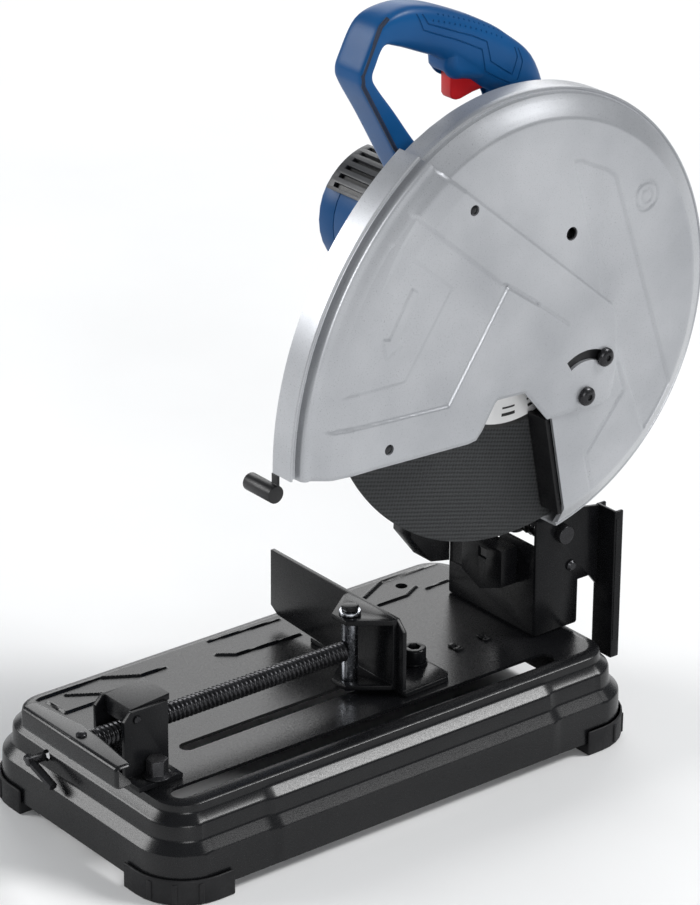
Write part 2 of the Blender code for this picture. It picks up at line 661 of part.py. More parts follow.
# ---------------------------------------------------------------- spindle and motor internals
def gear_outline(teeth, pitch_r, phase):
    """Straight-flanked teeth with backlash, as (u, v) points about the centre."""
    pitch = 360 / teeth
    points = []
    for i in range(teeth):
        for r, share in ((pitch_r - 1.5, -0.27), (pitch_r + 0.75, -0.12), (pitch_r + 0.75, 0.12), (pitch_r - 1.5, 0.27)):
            points.append(polar((0.0, 0.0), r, phase + pitch * (i + share)))
    return points


def gears():
    span = math.dist(SPINDLE, MOTOR)
    gear_r = span * GEAR_TEETH / (GEAR_TEETH + PINION_TEETH)
    heading = math.degrees(math.atan2(MOTOR[1] - SPINDLE[1], MOTOR[0] - SPINDLE[0]))
    flat = gear_outline(GEAR_TEETH, gear_r, heading + 180 / GEAR_TEETH)
    outline = [(SPINDLE[0] + u, SPINDLE[1] + v) for u, v in flat]
    gear = prism_x("spindle_gear", outline, GEAR_X, STEEL, SPINDLE)
    boolean(gear, rod_x("cut_gear_bore", (40, 70), 12.65, SPINDLE, None))
    flat = gear_outline(PINION_TEETH, span - gear_r, heading + 180)
    outline = [(MOTOR[0] + u, MOTOR[1] + v) for u, v in flat]
    shaft = prism_x("armature_shaft", outline, GEAR_X, STEEL, MOTOR)
    spine = [(0, 50.5), (5.0, 50.5), (6.0, 46), (6.0, -77), (15.0, -78), (15.0, -95), (6.0, -96), (6.0, -117), (0, -117)]
    boolean(shaft, turned("add_armature_spine", spine, "X", (0, *MOTOR), None), "UNION")


def armature():
    ring_x("armature_core", (-72, -14), (28.5, 6.15), MOTOR, DARK_STEEL)
    ring_x("stator", (-74, -12), (HOUSING_R - 3 - GAP, 30.0), MOTOR, DARK_STEEL)
    ring_x("bearing_rear", (-117, -104), (13.0, 6.15), MOTOR, STEEL)
    ring_x("bearing_front", (30, 40), (13.0, 6.15), MOTOR, STEEL)
    fan = ring_x("cooling_fan", (6, 9), (44.0, 6.15), MOTOR, PLASTIC)
    boolean(fan, ring_x("add_fan_hub", (0, 8), (12.0, 6.15), MOTOR, None), "UNION")
    for i in range(7):
        blade = box("add_blade_%d" % i, (-3, 7), (-15, 15), (-1, 1), None)
        blade.data.transform(Matrix.Translation((0, 26 * MM, 0)))
        blade.location = at(2, *MOTOR)
        blade.rotation_euler = (math.tau * i / 7, 0, 0)
        boolean(fan, blade, "UNION")
    y, z = MOTOR
    for name, side in (("brush_front", -1), ("brush_rear", 1)):
        ys = sorted((y + side * 15.4, y + side * 44.0))
        box(name, (-91, -81), ys, (z - 4, z + 4), DARK_STEEL)


def spindle():
    c = SPINDLE
    inner = DISC_X - DISC_T / 2 - GAP
    outer = DISC_X + DISC_T / 2 + GAP
    shaft = turned("spindle_shaft", [(0, outer + 4), (12.5, outer + 4), (12.5, 28.8), (0, 28.8)], "X", (0, *c), STEEL)
    boolean(shaft, rod_x("cut_spindle_thread", (outer - 14, outer + 20), 5.3, c, None, 16))
    ring_x("bearing_inner", (29, 38), (17.0, 12.65), c, STEEL)
    ring_x("bearing_outer", (64, 78), (21.0, 12.65), c, STEEL)
    ring_x("flange_inner", (80.5, inner), (42.0, 12.65), c, STEEL)
    ring_x("abrasive_disc", (DISC_X - DISC_T / 2, DISC_X + DISC_T / 2), (DISC_R, 12.7), c, GRIT, 60)
    ring_x("flange_outer", (outer, outer + 6), (42.0, 12.65), c, STEEL)
    turned("spindle_bolt", [(0, outer + 14), (11, outer + 14), (11, outer + 6 + GAP), (5.0, outer + 6 + GAP),
                            (5.0, outer - 10), (0, outer - 10)], "X", (0, *c), STEEL, 16)


gears()
armature()
spindle()


# ---------------------------------------------------------------- guards
def fixed_guard():
    back, edge, face = GUARD_X
    t = GUARD_T
    profile = [(0, face), (GUARD_FACE_R, face), (GUARD_R - 1, edge + 0.3), (GUARD_R, edge - 1), (GUARD_R, back), (50, back),
               (50, back + t), (GUARD_R - t, back + t), (GUARD_R - t, edge - 2), (GUARD_FACE_R - 1, face - t),
               (0, face - t)]
    guard = turned("fixed_guard", profile, "X", (0, *GUARD_C), ALU, 48)
    opening = [(109.4, 298.2), (134, 170), (-160, 170), (-160, 372), (84, 345)]
    boolean(guard, prism_x("cut_guard_opening", opening, (60, 140), None))
    for name, spot in (("pivot", FLAP_PIVOT), ("slot", SLOT_PIN)):
        boolean(guard, rod_x("cut_guard_" + name, (100, 130), 4.3, spot, None, 16))
    boolean(guard, rod_x("cut_guard_eye", (100, 130), 5.5, (124.0, 446.0), None, 16))


def spark_strip():
    """Dark deflector that closes the rear edge of the guard's lower opening."""
    top, low = (109.4, 298.2), (125.5, 214.0)
    strip = [(top[0] - 0.4, top[1]), (low[0] - 0.4, low[1]), (low[0] - 4.4, low[1]), (top[0] - 4.4, top[1])]
    prism_x("spark_strip", strip, (93.8, 114.4), RUBBER)


def guard_flap():
    back, edge, face = FLAP_X
    t = GUARD_T
    profile = [(0, face), (FLAP_FACE_R, face), (FLAP_R - 7, edge + 3), (FLAP_R - 6.3, edge), (FLAP_R, edge),
               (FLAP_R, back), (FLAP_R - t, back), (FLAP_R - t, edge - t), (FLAP_R - 7.5, edge - t),
               (FLAP_R - 8.5, edge + 1), (FLAP_FACE_R + 0.5, face - t), (0, face - t)]
    flap = turned("guard_flap", profile, "X", (0, *FLAP_PIVOT), ALU, 64)
    outline = [(168, 380), (-62, 572), (-200, 572), (-200, 314), (-140, 310.5), (-103, 306), (-61, 305), (32, 301),
               (37.5, 308.5), (52.5, 330), (79.5, 328.5), (102.5, 301), (159, 299.5), (165, 302), (172, 327), (171.5, 366)]
    boolean(flap, prism_x("cut_flap_outline", outline, (60, 150), None), "INTERSECT")
    track = arc(FLAP_PIVOT, SLOT_PIN_R + 4.3, FLAP_SLOT[0] - 8, FLAP_SLOT[1] + 8, 12)
    track += arc(FLAP_PIVOT, SLOT_PIN_R - 4.3, FLAP_SLOT[1] + 8, FLAP_SLOT[0] - 8, 12)
    boolean(flap, prism_x("cut_flap_slot", track, (100, 140), None))
    boolean(flap, rod_x("cut_flap_pivot", (100, 140), 4.3, FLAP_PIVOT, None, 16))


def guard_screws():
    face = FLAP_X[2]
    for name, spot in (("flap_pivot_screw", FLAP_PIVOT), ("flap_slot_screw", SLOT_PIN)):
        turned(name, [(0, face + 4.5), (5.0, face + 4.5), (7.5, face + 2), (7.5, face + GAP), (4.0, face + GAP), (4.0, 108),
                      (0, 108)], "X", (0, *spot), DARK_STEEL, 16)


def lift_peg():
    peg = rod_x("lift_peg", (60, 92), 7.0, (-135.7, 294.4), PLASTIC, 20)
    lip = polar(FLAP_PIVOT, FLAP_R - 1.2, 180)
    tab = box("add_peg_tab", (84, 92), (lip[0] - 1, lip[0] + 1), (292, 309.3), None)
    boolean(peg, tab, "UNION")


fixed_guard()
spark_strip()
guard_flap()
guard_screws()
lift_peg()


# ---------------------------------------------------------------- handle and switch
def grown(outline, amount):
    """The outline pushed outwards by an amount; a negative amount pulls it in."""
    count = len(outline)
    area = sum(outline[i - 1][0] * outline[i][1] - outline[i][0] * outline[i - 1][1] for i in range(count))
    side = math.copysign(amount, area * amount) if amount else 0.0
    points = []
    for i in range(count):
        (px, py), (x, y), (nx, ny) = outline[i - 1], outline[i], outline[(i + 1) % count]
        back = math.hypot(x - px, y - py)
        ahead = math.hypot(nx - x, ny - y)
        ux, uy = (y - py) / back, (px - x) / back
        vx, vy = (ny - y) / ahead, (x - nx) / ahead
        scale = side / (1 + ux * vx + uy * vy)
        points.append((x + (ux + vx) * scale, y + (uy + vy) * scale))
    return points


def handle_shell(name, xs):
    shell = prism_x(name, HANDLE_OUTER, xs, BLUE)
    eye = prism_x("cut_eye_" + name, HANDLE_EYE, (20, 80), None)
    seat = prism_x("cut_seat_" + name, gear_case_outline(GAP), (20, 80), None)
    hollow = prism_x("cut_hollow_" + name, grown(HANDLE_OUTER, -3.5), (HANDLE_X - 13.5, HANDLE_X + 13.5), None)
    boolean(hollow, prism_x("keep_eye_" + name, grown(HANDLE_EYE, 3.5), (20, 80), None))
    boolean(hollow, prism_x("keep_seat_" + name, gear_case_outline(3.5), (20, 80), None))
    mouth = box("cut_mouth_" + name, (HANDLE_X - TRIGGER_HALF - GAP, HANDLE_X + TRIGGER_HALF + GAP), (48.5, 97.5),
                (535, 575), None)
    lead = turned("cut_lead_" + name, [(0, 165), (5.3, 165), (5.3, 140), (0, 140)], "Y", (GLAND[0], 0, GLAND[1]), None, 16)
    for tool in (eye, seat):
        boolean(shell, tool)
    bevel(shell, 4.0, 2, 60.0)
    for tool in (hollow, mouth, lead):
        boolean(shell, tool)


handle_shell("handle_left", (HANDLE_X - HANDLE_HALF, HANDLE_X - GAP / 2))
handle_shell("handle_right", (HANDLE_X + GAP / 2, HANDLE_X + HANDLE_HALF))


def switch_parts():
    outline = [(56, 571), (56.5, 551), (60, 547.5), (66, 547), (78, 550), (95, 551.5), (95, 559), (80, 566), (70, 571)]
    prism_x("trigger", outline, (HANDLE_X - TRIGGER_HALF, HANDLE_X + TRIGGER_HALF), RED, TRIGGER_PIVOT, 1.0)
    box("switch_body", (HANDLE_X - 9, HANDLE_X + 9), (55, 84), (578, 597), PLASTIC, 0.8)
    profile = [(4.8, 161), (8.5, 160), (8.5, 153.5), (4.8, 153.5), (4.8, 144), (3.2, 144), (3.2, 161)]
    turned("cable_gland", profile, "Y", (GLAND[0], 0, GLAND[1]), RUBBER, 16, closed=True)


switch_parts()
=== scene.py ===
"""Looks of the abrasive chop saw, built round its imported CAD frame."""
import json
import math

import bmesh
import bpy
import numpy as np
from mathutils import Matrix, Vector
from mathutils.bvhtree import BVHTree


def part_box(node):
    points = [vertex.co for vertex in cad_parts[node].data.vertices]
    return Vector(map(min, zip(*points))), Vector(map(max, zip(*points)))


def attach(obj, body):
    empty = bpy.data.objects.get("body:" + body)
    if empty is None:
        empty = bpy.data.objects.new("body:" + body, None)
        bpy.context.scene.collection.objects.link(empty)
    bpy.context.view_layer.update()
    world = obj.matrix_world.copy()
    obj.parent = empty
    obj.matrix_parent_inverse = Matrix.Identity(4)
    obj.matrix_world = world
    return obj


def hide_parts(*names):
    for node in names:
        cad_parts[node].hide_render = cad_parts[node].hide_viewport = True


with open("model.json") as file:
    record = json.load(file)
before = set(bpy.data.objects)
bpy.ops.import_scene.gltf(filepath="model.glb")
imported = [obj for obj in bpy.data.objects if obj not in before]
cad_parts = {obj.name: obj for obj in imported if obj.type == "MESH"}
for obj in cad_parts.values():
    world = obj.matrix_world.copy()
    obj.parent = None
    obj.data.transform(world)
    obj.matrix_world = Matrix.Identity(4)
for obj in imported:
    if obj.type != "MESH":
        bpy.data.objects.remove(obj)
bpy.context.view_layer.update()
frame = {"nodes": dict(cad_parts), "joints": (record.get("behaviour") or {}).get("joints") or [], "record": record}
NODES = frame["nodes"]
BODY_OF = {n: b for b, ns in frame["record"]["behaviour"]["bodies"].items() for n in ns}
SLOT_OF = {row["node"]: row["material_slot"] for row in frame["record"]["subparts"]}
JOINTS = {j["name"]: j for j in frame["joints"]}
MM = 0.001

# Drawing coordinates are millimetres with the hinge bolt at Y 175.7. SHIFT is their offset along Y.
HINGE_Y = 175.7
SHIFT = JOINTS["arm_swing"]["pos_m"][1] / MM - HINGE_Y

# Places in the guard's plane, as (Y, Z).
SPINDLE = (89.3, 376.3)
MOTOR = (116.0, 401.0)
GUARD_C = (88.7, 378.0)
FLAP_PIVOT = (140.0, 311.2)
SLOT_SCREW = (157.8, 339.2)
GUARD_EYE = (124.0, 446.0)
FLAP_RIVETS = {"front_guard_rivet_top": (25.2, 487.8), "front_guard_rivet_low": (-52.8, 318.0)}

# X of the flat faces of the front guard and the fixed guard, and of the seats of the two screw heads.
FLAP_FACE = 120.6
GUARD_FACE = 117.3
HEAD_SEAT = 120.8

# The vise screw's line, as (X, Z), and the bolts through the table, as (X, Y).
SCREW = (35.5, 110.6)
FENCE_PIVOT = (-25, 28)
FENCE_CLAMP = (38, 42)
NUT_BOLT = (65, -227)
BOLT_SEAT = 81.1
BOLT_LOW = 64.5
BOLT_SHANK = 4.0
TABLE_HOLE = 4.3


# ---------------------------------------------------------------- materials
def nodes_of(name):
    made = bpy.data.materials.new(name)
    made.use_nodes = True
    tree = made.node_tree
    return made, tree, tree.nodes["Principled BSDF"]


def noise(tree, scale, detail=2.0, rough=0.5):
    """Noise in the object's own coordinates."""
    coords = tree.nodes.new("ShaderNodeTexCoord")
    grain = tree.nodes.new("ShaderNodeTexNoise")
    grain.inputs["Scale"].default_value = scale
    grain.inputs["Detail"].default_value = detail
    grain.inputs["Roughness"].default_value = rough
    tree.links.new(coords.outputs["Object"], grain.inputs["Vector"])
    return grain.outputs["Fac"]


def spread(tree, source, low, high, start=0.3, stop=0.7):
    ramp = tree.nodes.new("ShaderNodeMapRange")
    ramp.inputs["From Min"].default_value = start
    ramp.inputs["From Max"].default_value = stop
    ramp.inputs["To Min"].default_value = low
    ramp.inputs["To Max"].default_value = high
    tree.links.new(source, ramp.inputs["Value"])
    return ramp.outputs["Result"]


def tint(tree, source, dark, light, start=0.3, stop=0.7):
    ramp = tree.nodes.new("ShaderNodeValToRGB")
    ramp.color_ramp.elements[0].position = start
    ramp.color_ramp.elements[1].position = stop
    ramp.color_ramp.elements[0].color = (*dark, 1)
    ramp.color_ramp.elements[1].color = (*light, 1)
    tree.links.new(source, ramp.inputs["Fac"])
    return ramp.outputs["Color"]


def bump(tree, shader, heights):
    """Chains bump nodes; heights is a list of (source, distance in metres, strength)."""
    last = None
    for source, distance, strength in heights:
        node = tree.nodes.new("ShaderNodeBump")
        node.inputs["Distance"].default_value = distance
        node.inputs["Strength"].default_value = strength
        tree.links.new(source, node.inputs["Height"])
        if last:
            tree.links.new(last, node.inputs["Normal"])
        last = node.outputs["Normal"]
    tree.links.new(last, shader.inputs["Normal"])


def surface(name, dark, light, rough, metal=0.0, grain=900.0, depth=0.00006, mottle=30.0,
            strength=0.35, gloss=0.5):
    """A finish with colour variation at one scale, grain at a finer one, and roughness that follows the grain."""
    made, tree, shader = nodes_of(name)
    broad = noise(tree, mottle, 3.0)
    fine = noise(tree, grain, 2.0)
    tree.links.new(tint(tree, broad, dark, light), shader.inputs["Base Color"])
    tree.links.new(spread(tree, fine, rough[0], rough[1]), shader.inputs["Roughness"])
    shader.inputs["Metallic"].default_value = metal
    shader.inputs["Specular IOR Level"].default_value = gloss
    bump(tree, shader, [(broad, 0.0003, 0.05), (fine, depth, strength)])
    return made


ALU = surface("guard_paint", (0.36, 0.37, 0.39), (0.46, 0.47, 0.49), rough=(0.26, 0.4), metal=0.5,
              grain=1500, depth=0.00006, mottle=14, strength=0.5)
ALU_CAST = surface("cast_metal", (0.32, 0.33, 0.35), (0.42, 0.43, 0.45), rough=(0.4, 0.55), metal=0.9,
                   grain=700, depth=0.00015, mottle=25)
BLACK = surface("black_coat", (0.004, 0.0042, 0.005), (0.007, 0.0072, 0.008), rough=(0.2, 0.34), grain=1300,
                depth=0.00006, mottle=22, strength=0.45, gloss=0.32)
BLACK_FLAT = surface("black_bracket", (0.004, 0.0042, 0.005), (0.008, 0.0082, 0.009), rough=(0.2, 0.32),
                     grain=900, depth=0.00004, mottle=30, gloss=0.14)
RUBBER = surface("rubber", (0.005, 0.005, 0.006), (0.012, 0.012, 0.013), rough=(0.45, 0.65), grain=600,
                 depth=0.0002, mottle=60, gloss=0.25)
BLUE = surface("blue_shell", (0.0025, 0.06, 0.19), (0.0035, 0.072, 0.22), rough=(0.3, 0.42), grain=1600,
               depth=0.00004, mottle=20, gloss=0.2)
RED = surface("red_trigger", (0.5, 0.006, 0.01), (0.6, 0.01, 0.014), rough=(0.28, 0.38), grain=1300,
              depth=0.00004, mottle=25, gloss=0.35)
PLASTIC = surface("black_moulding", (0.006, 0.006, 0.007), (0.012, 0.012, 0.013), rough=(0.32, 0.46),
                  grain=1000, depth=0.0001, mottle=40, gloss=0.35)
GREY_PLASTIC = surface("grey_moulding", (0.035, 0.036, 0.04), (0.06, 0.062, 0.066), rough=(0.34, 0.5),
                       metal=0.2, grain=1000, depth=0.0001, mottle=40)
ZINC = surface("zinc", (0.42, 0.44, 0.48), (0.58, 0.6, 0.64), rough=(0.16, 0.28), metal=1.0, grain=500,
               depth=0.00002, mottle=45)
DARK_STEEL = surface("dark_steel", (0.018, 0.018, 0.02), (0.04, 0.04, 0.043), rough=(0.22, 0.36), metal=0.7,
                     grain=800, depth=0.00005, mottle=50)
BRONZE = surface("bronze", (0.38, 0.24, 0.1), (0.5, 0.33, 0.15), rough=(0.3, 0.45), metal=1.0, grain=700,
                 depth=0.0001, mottle=40)
SEAM = surface("seam", (0.001, 0.008, 0.03), (0.002, 0.012, 0.04), rough=(0.5, 0.65), grain=900,
               depth=0.00005, mottle=30)
PAPER = surface("label_paper", (0.7, 0.7, 0.7), (0.8, 0.8, 0.8), rough=(0.5, 0.65), grain=1500,
                depth=0.00003, mottle=60)
INK = surface("label_ink", (0.008, 0.008, 0.008), (0.014, 0.014, 0.014), rough=(0.45, 0.6), grain=1500,
              depth=0.00003, mottle=60)


def disc_finish():
    """Resin-bonded grit with the imprint of its woven glass mesh."""
    made, tree, shader = nodes_of("grinding_disc")
    grit = noise(tree, 900, 3.0, 0.7)
    broad = noise(tree, 18, 3.0)
    coords = tree.nodes.new("ShaderNodeTexCoord")
    weave = []
    lay = 0.26
    for turn, share in ((lay, 0.4), (lay + math.pi / 2, 0.3)):
        mapping = tree.nodes.new("ShaderNodeMapping")
        mapping.inputs["Rotation"].default_value = (turn, 0.0, 0.0)
        wave = tree.nodes.new("ShaderNodeTexWave")
        wave.bands_direction = "Z"
        wave.inputs["Scale"].default_value = 100.0
        wave.inputs["Distortion"].default_value = 1.6
        wave.inputs["Detail"].default_value = 2.0
        wave.inputs["Detail Scale"].default_value = 6.0
        tree.links.new(coords.outputs["Object"], mapping.inputs["Vector"])
        tree.links.new(mapping.outputs["Vector"], wave.inputs["Vector"])
        weave.append((wave.outputs["Fac"], share))
    total = grit
    for source, share in weave:
        added = tree.nodes.new("ShaderNodeMath")
        added.operation = "MULTIPLY_ADD"
        added.inputs[1].default_value = share
        tree.links.new(source, added.inputs[0])
        tree.links.new(total, added.inputs[2])
        total = added.outputs[0]
    colour = tint(tree, total, (0.005, 0.0055, 0.006), (0.034, 0.036, 0.038), 0.5, 1.2)
    tree.links.new(colour, shader.inputs["Base Color"])
    tree.links.new(spread(tree, grit, 0.65, 0.95), shader.inputs["Roughness"])
    bump(tree, shader, [(broad, 0.0004, 0.1), (weave[0][0], 0.0006, 0.7), (grit, 0.0003, 0.6)])
    return made


DISC = disc_finish()
FINISH = {"black_paint": BLACK_FLAT, "rubber": RUBBER, "bright_steel": ZINC, "dark_steel": DARK_STEEL,
          "bronze": BRONZE, "cast_aluminium": ALU_CAST, "blue_plastic": BLUE, "black_plastic": PLASTIC,
          "red_plastic": RED, "abrasive": DISC}


# ---------------------------------------------------------------- mesh helpers
def raw(name, verts, faces):
    """A mesh object from drawing coordinates in millimetres, normals outwards."""
    mesh = bpy.data.meshes.new(name)
    points = np.asarray(verts, float)
    points = (points + (0.0, SHIFT, 0.0)) * MM
    mesh.from_pydata(points.tolist(), [], faces)
    mesh.update()
    thing = bpy.data.objects.new(name, mesh)
    bpy.context.scene.collection.objects.link(thing)
    work = bmesh.new()
    work.from_mesh(mesh)
    bmesh.ops.recalc_face_normals(work, faces=work.faces)
    work.to_mesh(mesh)
    work.free()
    return thing


def bake(thing):
    """Applies every modifier."""
    graph = bpy.context.evaluated_depsgraph_get()
    mesh = bpy.data.meshes.new_from_object(thing.evaluated_get(graph))
    thing.modifiers.clear()
    thing.data = mesh
    return thing


def combine(thing, tools, operation="DIFFERENCE"):
    for tool in tools:
        mod = thing.modifiers.new("combine", "BOOLEAN")
        mod.operation = operation
        mod.solver = "MANIFOLD"
        mod.object = tool
    bake(thing)
    for tool in tools:
        bpy.data.objects.remove(tool, do_unlink=True)
    return thing


def soften(thing, width, segments=3, angle=35.0):
    mod = thing.modifiers.new("soften", "BEVEL")
    mod.width = width * MM
    mod.segments = segments
    mod.limit_method = "ANGLE"
    mod.angle_limit = math.radians(angle)
    mod.miter_outer = "MITER_ARC"
    return bake(thing)


def clean(thing, angle=0.6):
    work = bmesh.new()
    work.from_mesh(thing.data)
    bmesh.ops.remove_doubles(work, verts=work.verts, dist=0.00001)
    bmesh.ops.dissolve_limit(work, angle_limit=math.radians(angle), verts=work.verts, edges=work.edges)
    work.to_mesh(thing.data)
    work.free()
    return thing


def shade(thing, angle=35.0):
    for face in thing.data.polygons:
        face.use_smooth = True
    thing.data.set_sharp_from_angle(angle=math.radians(angle))
    return thing


def put(thing, look, body, replaces=(), slot=None, angle=35.0):
    """Gives a finished piece its material and its body, and hides the CAD nodes it stands for."""
    thing.data.materials.clear()
    thing.data.materials.append(look)
    shade(thing, angle)
    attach(thing, body)
    if replaces:
        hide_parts(*replaces)
        slot = slot or SLOT_OF[replaces[0]]
    return thing


def prism(axis, outline, lo, hi, name="tool"):
    """A prism along an axis; the outline's two numbers are the other two axes in X, Y, Z order."""
    order = {"X": (1, 2), "Y": (0, 2), "Z": (0, 1)}[axis]
    along = "XYZ".index(axis)
    verts = []
    for level in (lo, hi):
        for u, v in outline:
            point = [0.0, 0.0, 0.0]
            point[along], point[order[0]], point[order[1]] = level, u, v
            verts.append(point)
    n = len(outline)
    faces = [tuple(range(n)), tuple(range(n, 2 * n))]
    faces += [(i, (i + 1) % n, n + (i + 1) % n, n + i) for i in range(n)]
    return raw(name, verts, faces)


def block(xs, ys, zs, name="tool"):
    return prism("Z", [(xs[0], ys[0]), (xs[1], ys[0]), (xs[1], ys[1]), (xs[0], ys[1])], zs[0], zs[1], name)


def lathe(axis, centre, profile, steps=48, name="tool"):
    """A turned solid: profile is (radius, height) along the axis; it closes onto the axis or onto itself."""
    order = {"X": (1, 2), "Y": (2, 0), "Z": (0, 1)}[axis]
    along = "XYZ".index(axis)
    verts, rings = [], []
    for r, h in profile:
        ring = []
        for i in range(1 if r == 0 else steps):
            a = math.tau * i / steps
            point = list(centre)
            point[along] = h
            point[order[0]] += r * math.cos(a)
            point[order[1]] += r * math.sin(a)
            ring.append(len(verts))
            verts.append(point)
        rings.append(ring)
    pairs = list(zip(rings, rings[1:]))
    if profile[0][0] > 0:
        pairs.append((rings[-1], rings[0]))
    faces = []
    for one, two in pairs:
        for i in range(steps):
            j = (i + 1) % steps
            quad = [one[i % len(one)], one[j % len(one)], two[j % len(two)], two[i % len(two)]]
            quad = list(dict.fromkeys(quad))
            if len(quad) > 2:
                faces.append(quad)
    return raw(name, verts, faces)


def rod(axis, centre, radius, lo, hi, steps=32, name="tool"):
    return lathe(axis, centre, [(0, hi), (radius, hi), (radius, lo), (0, lo)], steps, name)


def arc(centre, radius, start, stop, count):
    return [(centre[0] + radius * math.cos(math.radians(start + (stop - start) * i / count)),
             centre[1] + radius * math.sin(math.radians(start + (stop - start) * i / count)))
            for i in range(count + 1)]


def spaced(start, stop, step):
    """Evenly spaced numbers, about a step apart, with both ends."""
    return np.linspace(start, stop, max(2, int(abs(stop - start) / step) + 1)).tolist()


def rings_of(count, steps):
    """Faces of a closed tube made of rings of points."""
    faces = [tuple(range(steps)), tuple(range((count - 1) * steps, count * steps))]
    for p in range(count - 1):
        for i in range(steps):
            j = (i + 1) % steps
            faces.append((p * steps + i, p * steps + j, (p + 1) * steps + j, (p + 1) * steps + i))
    return faces


def sweep(name, stations, steps=44):
    """Superellipse sections; a station is (inner point, outer point, x middle, x half width, squareness)."""
    verts = []
    for (iy, iz), (oy, oz), xm, xh, power in stations:
        cy, cz = (iy + oy) / 2, (iz + oz) / 2
        uy, uz = (oy - iy) / 2, (oz - iz) / 2
        for i in range(steps):
            a = math.tau * i / steps
            s, c = math.sin(a), math.cos(a)
            u = math.copysign(abs(c) ** (2 / power), c)
            v = math.copysign(abs(s) ** (2 / power), s)
            verts.append((xm + xh * v, cy + uy * u, cz + uz * u))
    return raw(name, verts, rings_of(len(stations), steps))


def tube(points, radius, steps=10, name="tool"):
    """A round bar along a polyline."""
    path = [Vector(q) for q in points]
    verts = []
    for k, spot in enumerate(path):
        ahead = (path[min(k + 1, len(path) - 1)] - path[max(k - 1, 0)]).normalized()
        side = ahead.cross(Vector((1, 0, 0)) if abs(ahead.x) < 0.7 else Vector((0, 0, 1))).normalized()
        other = ahead.cross(side)
        for i in range(steps):
            a = math.tau * i / steps
            verts.append(tuple(spot + radius * (math.cos(a) * side + math.sin(a) * other)))
    return raw(name, verts, rings_of(len(path), steps))


def dense(points, step):
    """The polyline with extra points so that none are further apart than the step."""
    made = []
    for (ay, az), (by, bz) in zip(points, points[1:]):
        n = max(1, math.ceil(math.hypot(by - ay, bz - az) / step))
        made += [(ay + (by - ay) * i / n, az + (bz - az) * i / n) for i in range(n)]
    return made + [points[-1]]


def spline(points, count):
    """Catmull-Rom through rows of numbers."""
    rows = np.array(points, float)
    rows = np.vstack([2 * rows[0] - rows[1], rows, 2 * rows[-1] - rows[-2]])
    made = []
    for k in range(1, len(rows) - 2):
        a, b, c, d = rows[k - 1:k + 3]
        for t in np.linspace(0, 1, count, endpoint=False):
            square = (2 * a - 5 * b + 4 * c - d) * t * t
            cube = (3 * b - a - 3 * c + d) * t ** 3
            made.append(0.5 * (2 * b + (c - a) * t + square + cube))
    made.append(rows[-2])
    return made


def rounded(name, node, width=0.8, look=None, segments=3, angle=35.0, merge=0.6):
    """A copy of a CAD node with its edges rounded, which stands for it."""
    mesh = NODES[node].data.copy()
    thing = bpy.data.objects.new(name, mesh)
    bpy.context.scene.collection.objects.link(thing)
    clean(thing, merge)
    soften(thing, width, segments, angle)
    return put(thing, look or FINISH[SLOT_OF[node]], BODY_OF[node], [node])


# ---------------------------------------------------------------- bolts and washers
def pan_head(name, spot, node):
    """A domed socket screw on the guards' faces."""
    x, radius, shank, crown = HEAD_SEAT, 7.5, 7.5 * 0.55, 5.0
    profile = [(0, x + crown), (shank, x + 4.8), (radius * 0.82, x + 4.0), (radius, x + 2.4),
               (radius, x + 0.3), (shank, x + 0.3), (shank, x - 9), (0, x - 9)]
    head = lathe("X", (0, *spot), profile, 40, name)
    socket_r, socket_deep = 2.6, 1.9
    combine(head, [rod("X", (0, *spot), socket_r, x + crown - socket_deep, x + 9, 6)])
    soften(head, 0.3, 2)
    return put(head, DARK_STEEL, "cutting_head", [node])


def washer(name, spot, radii, span):
    """A flat ring on the table; radii are the outer and the inner one."""
    profile = [(radii[0], span[1]), (radii[0], span[0]), (radii[1], span[0]), (radii[1], span[1])]
    ring = lathe("Z", (*spot, 0), profile, 36, name)
    soften(ring, 0.25, 2)
    return put(ring, BLACK_FLAT, "base", slot="black_paint")


def hex_bolt(name, spot, across, height, node):
    """A hexagon head on a flange, which holds something down on the table."""
    z = BOLT_SEAT
    corner, flange_r = across / math.sqrt(3), across * 0.78
    axis = (*spot, 0)
    head = lathe("Z", axis, [(0, z + height), (corner, z + height), (corner, z + 2.0), (0, z + 2.0)], 6,
                 name)
    cap = lathe("Z", axis, [(0, z + height + 2), (across * 0.42, z + height + 2),
                            (flange_r, z + height - 3.6),
                            (flange_r, z + 1.0), (0, z + 1.0)], 36)
    combine(head, [cap], "INTERSECT")
    flange = lathe("Z", axis, [(0, z + 2.6), (across * 0.5, z + 2.6), (flange_r, z + 1.0), (flange_r, z),
                               (BOLT_SHANK, z), (BOLT_SHANK, BOLT_LOW), (0, BOLT_LOW)], 36)
    combine(head, [flange], "UNION")
    soften(head, 0.3, 2)
    return put(head, DARK_STEEL, "base", [node])


def socket_bolt(name, spot, radius, height, node):
    """A cylinder head with a hexagon socket, on the table."""
    z = BOLT_SEAT
    profile = [(0, z + height), (radius * 0.9, z + height), (radius, z + height - 1), (radius, z),
               (BOLT_SHANK, z), (BOLT_SHANK, BOLT_LOW), (0, BOLT_LOW)]
    bolt = lathe("Z", (*spot, 0), profile, 40, name)
    combine(bolt, [rod("Z", (*spot, 0), radius * 0.56, z + height * 0.45, z + height + 5, 6)])
    soften(bolt, 0.3, 2)
    return put(bolt, BLACK_FLAT, "base", [node])


# ---------------------------------------------------------------- relief on plates
def gap_to(y, z, points, closed=False):
    """Distance from every (y, z) to a polyline."""
    pairs = list(zip(points, points[1:]))
    if closed:
        pairs.append((points[-1], points[0]))
    best = np.full(np.shape(y), 1e9)
    for (ay, az), (by, bz) in pairs:
        dy, dz = by - ay, bz - az
        t = np.clip(((y - ay) * dy + (z - az) * dz) / (dy * dy + dz * dz), 0, 1)
        best = np.minimum(best, np.hypot(y - ay - t * dy, z - az - t * dz))
    return best


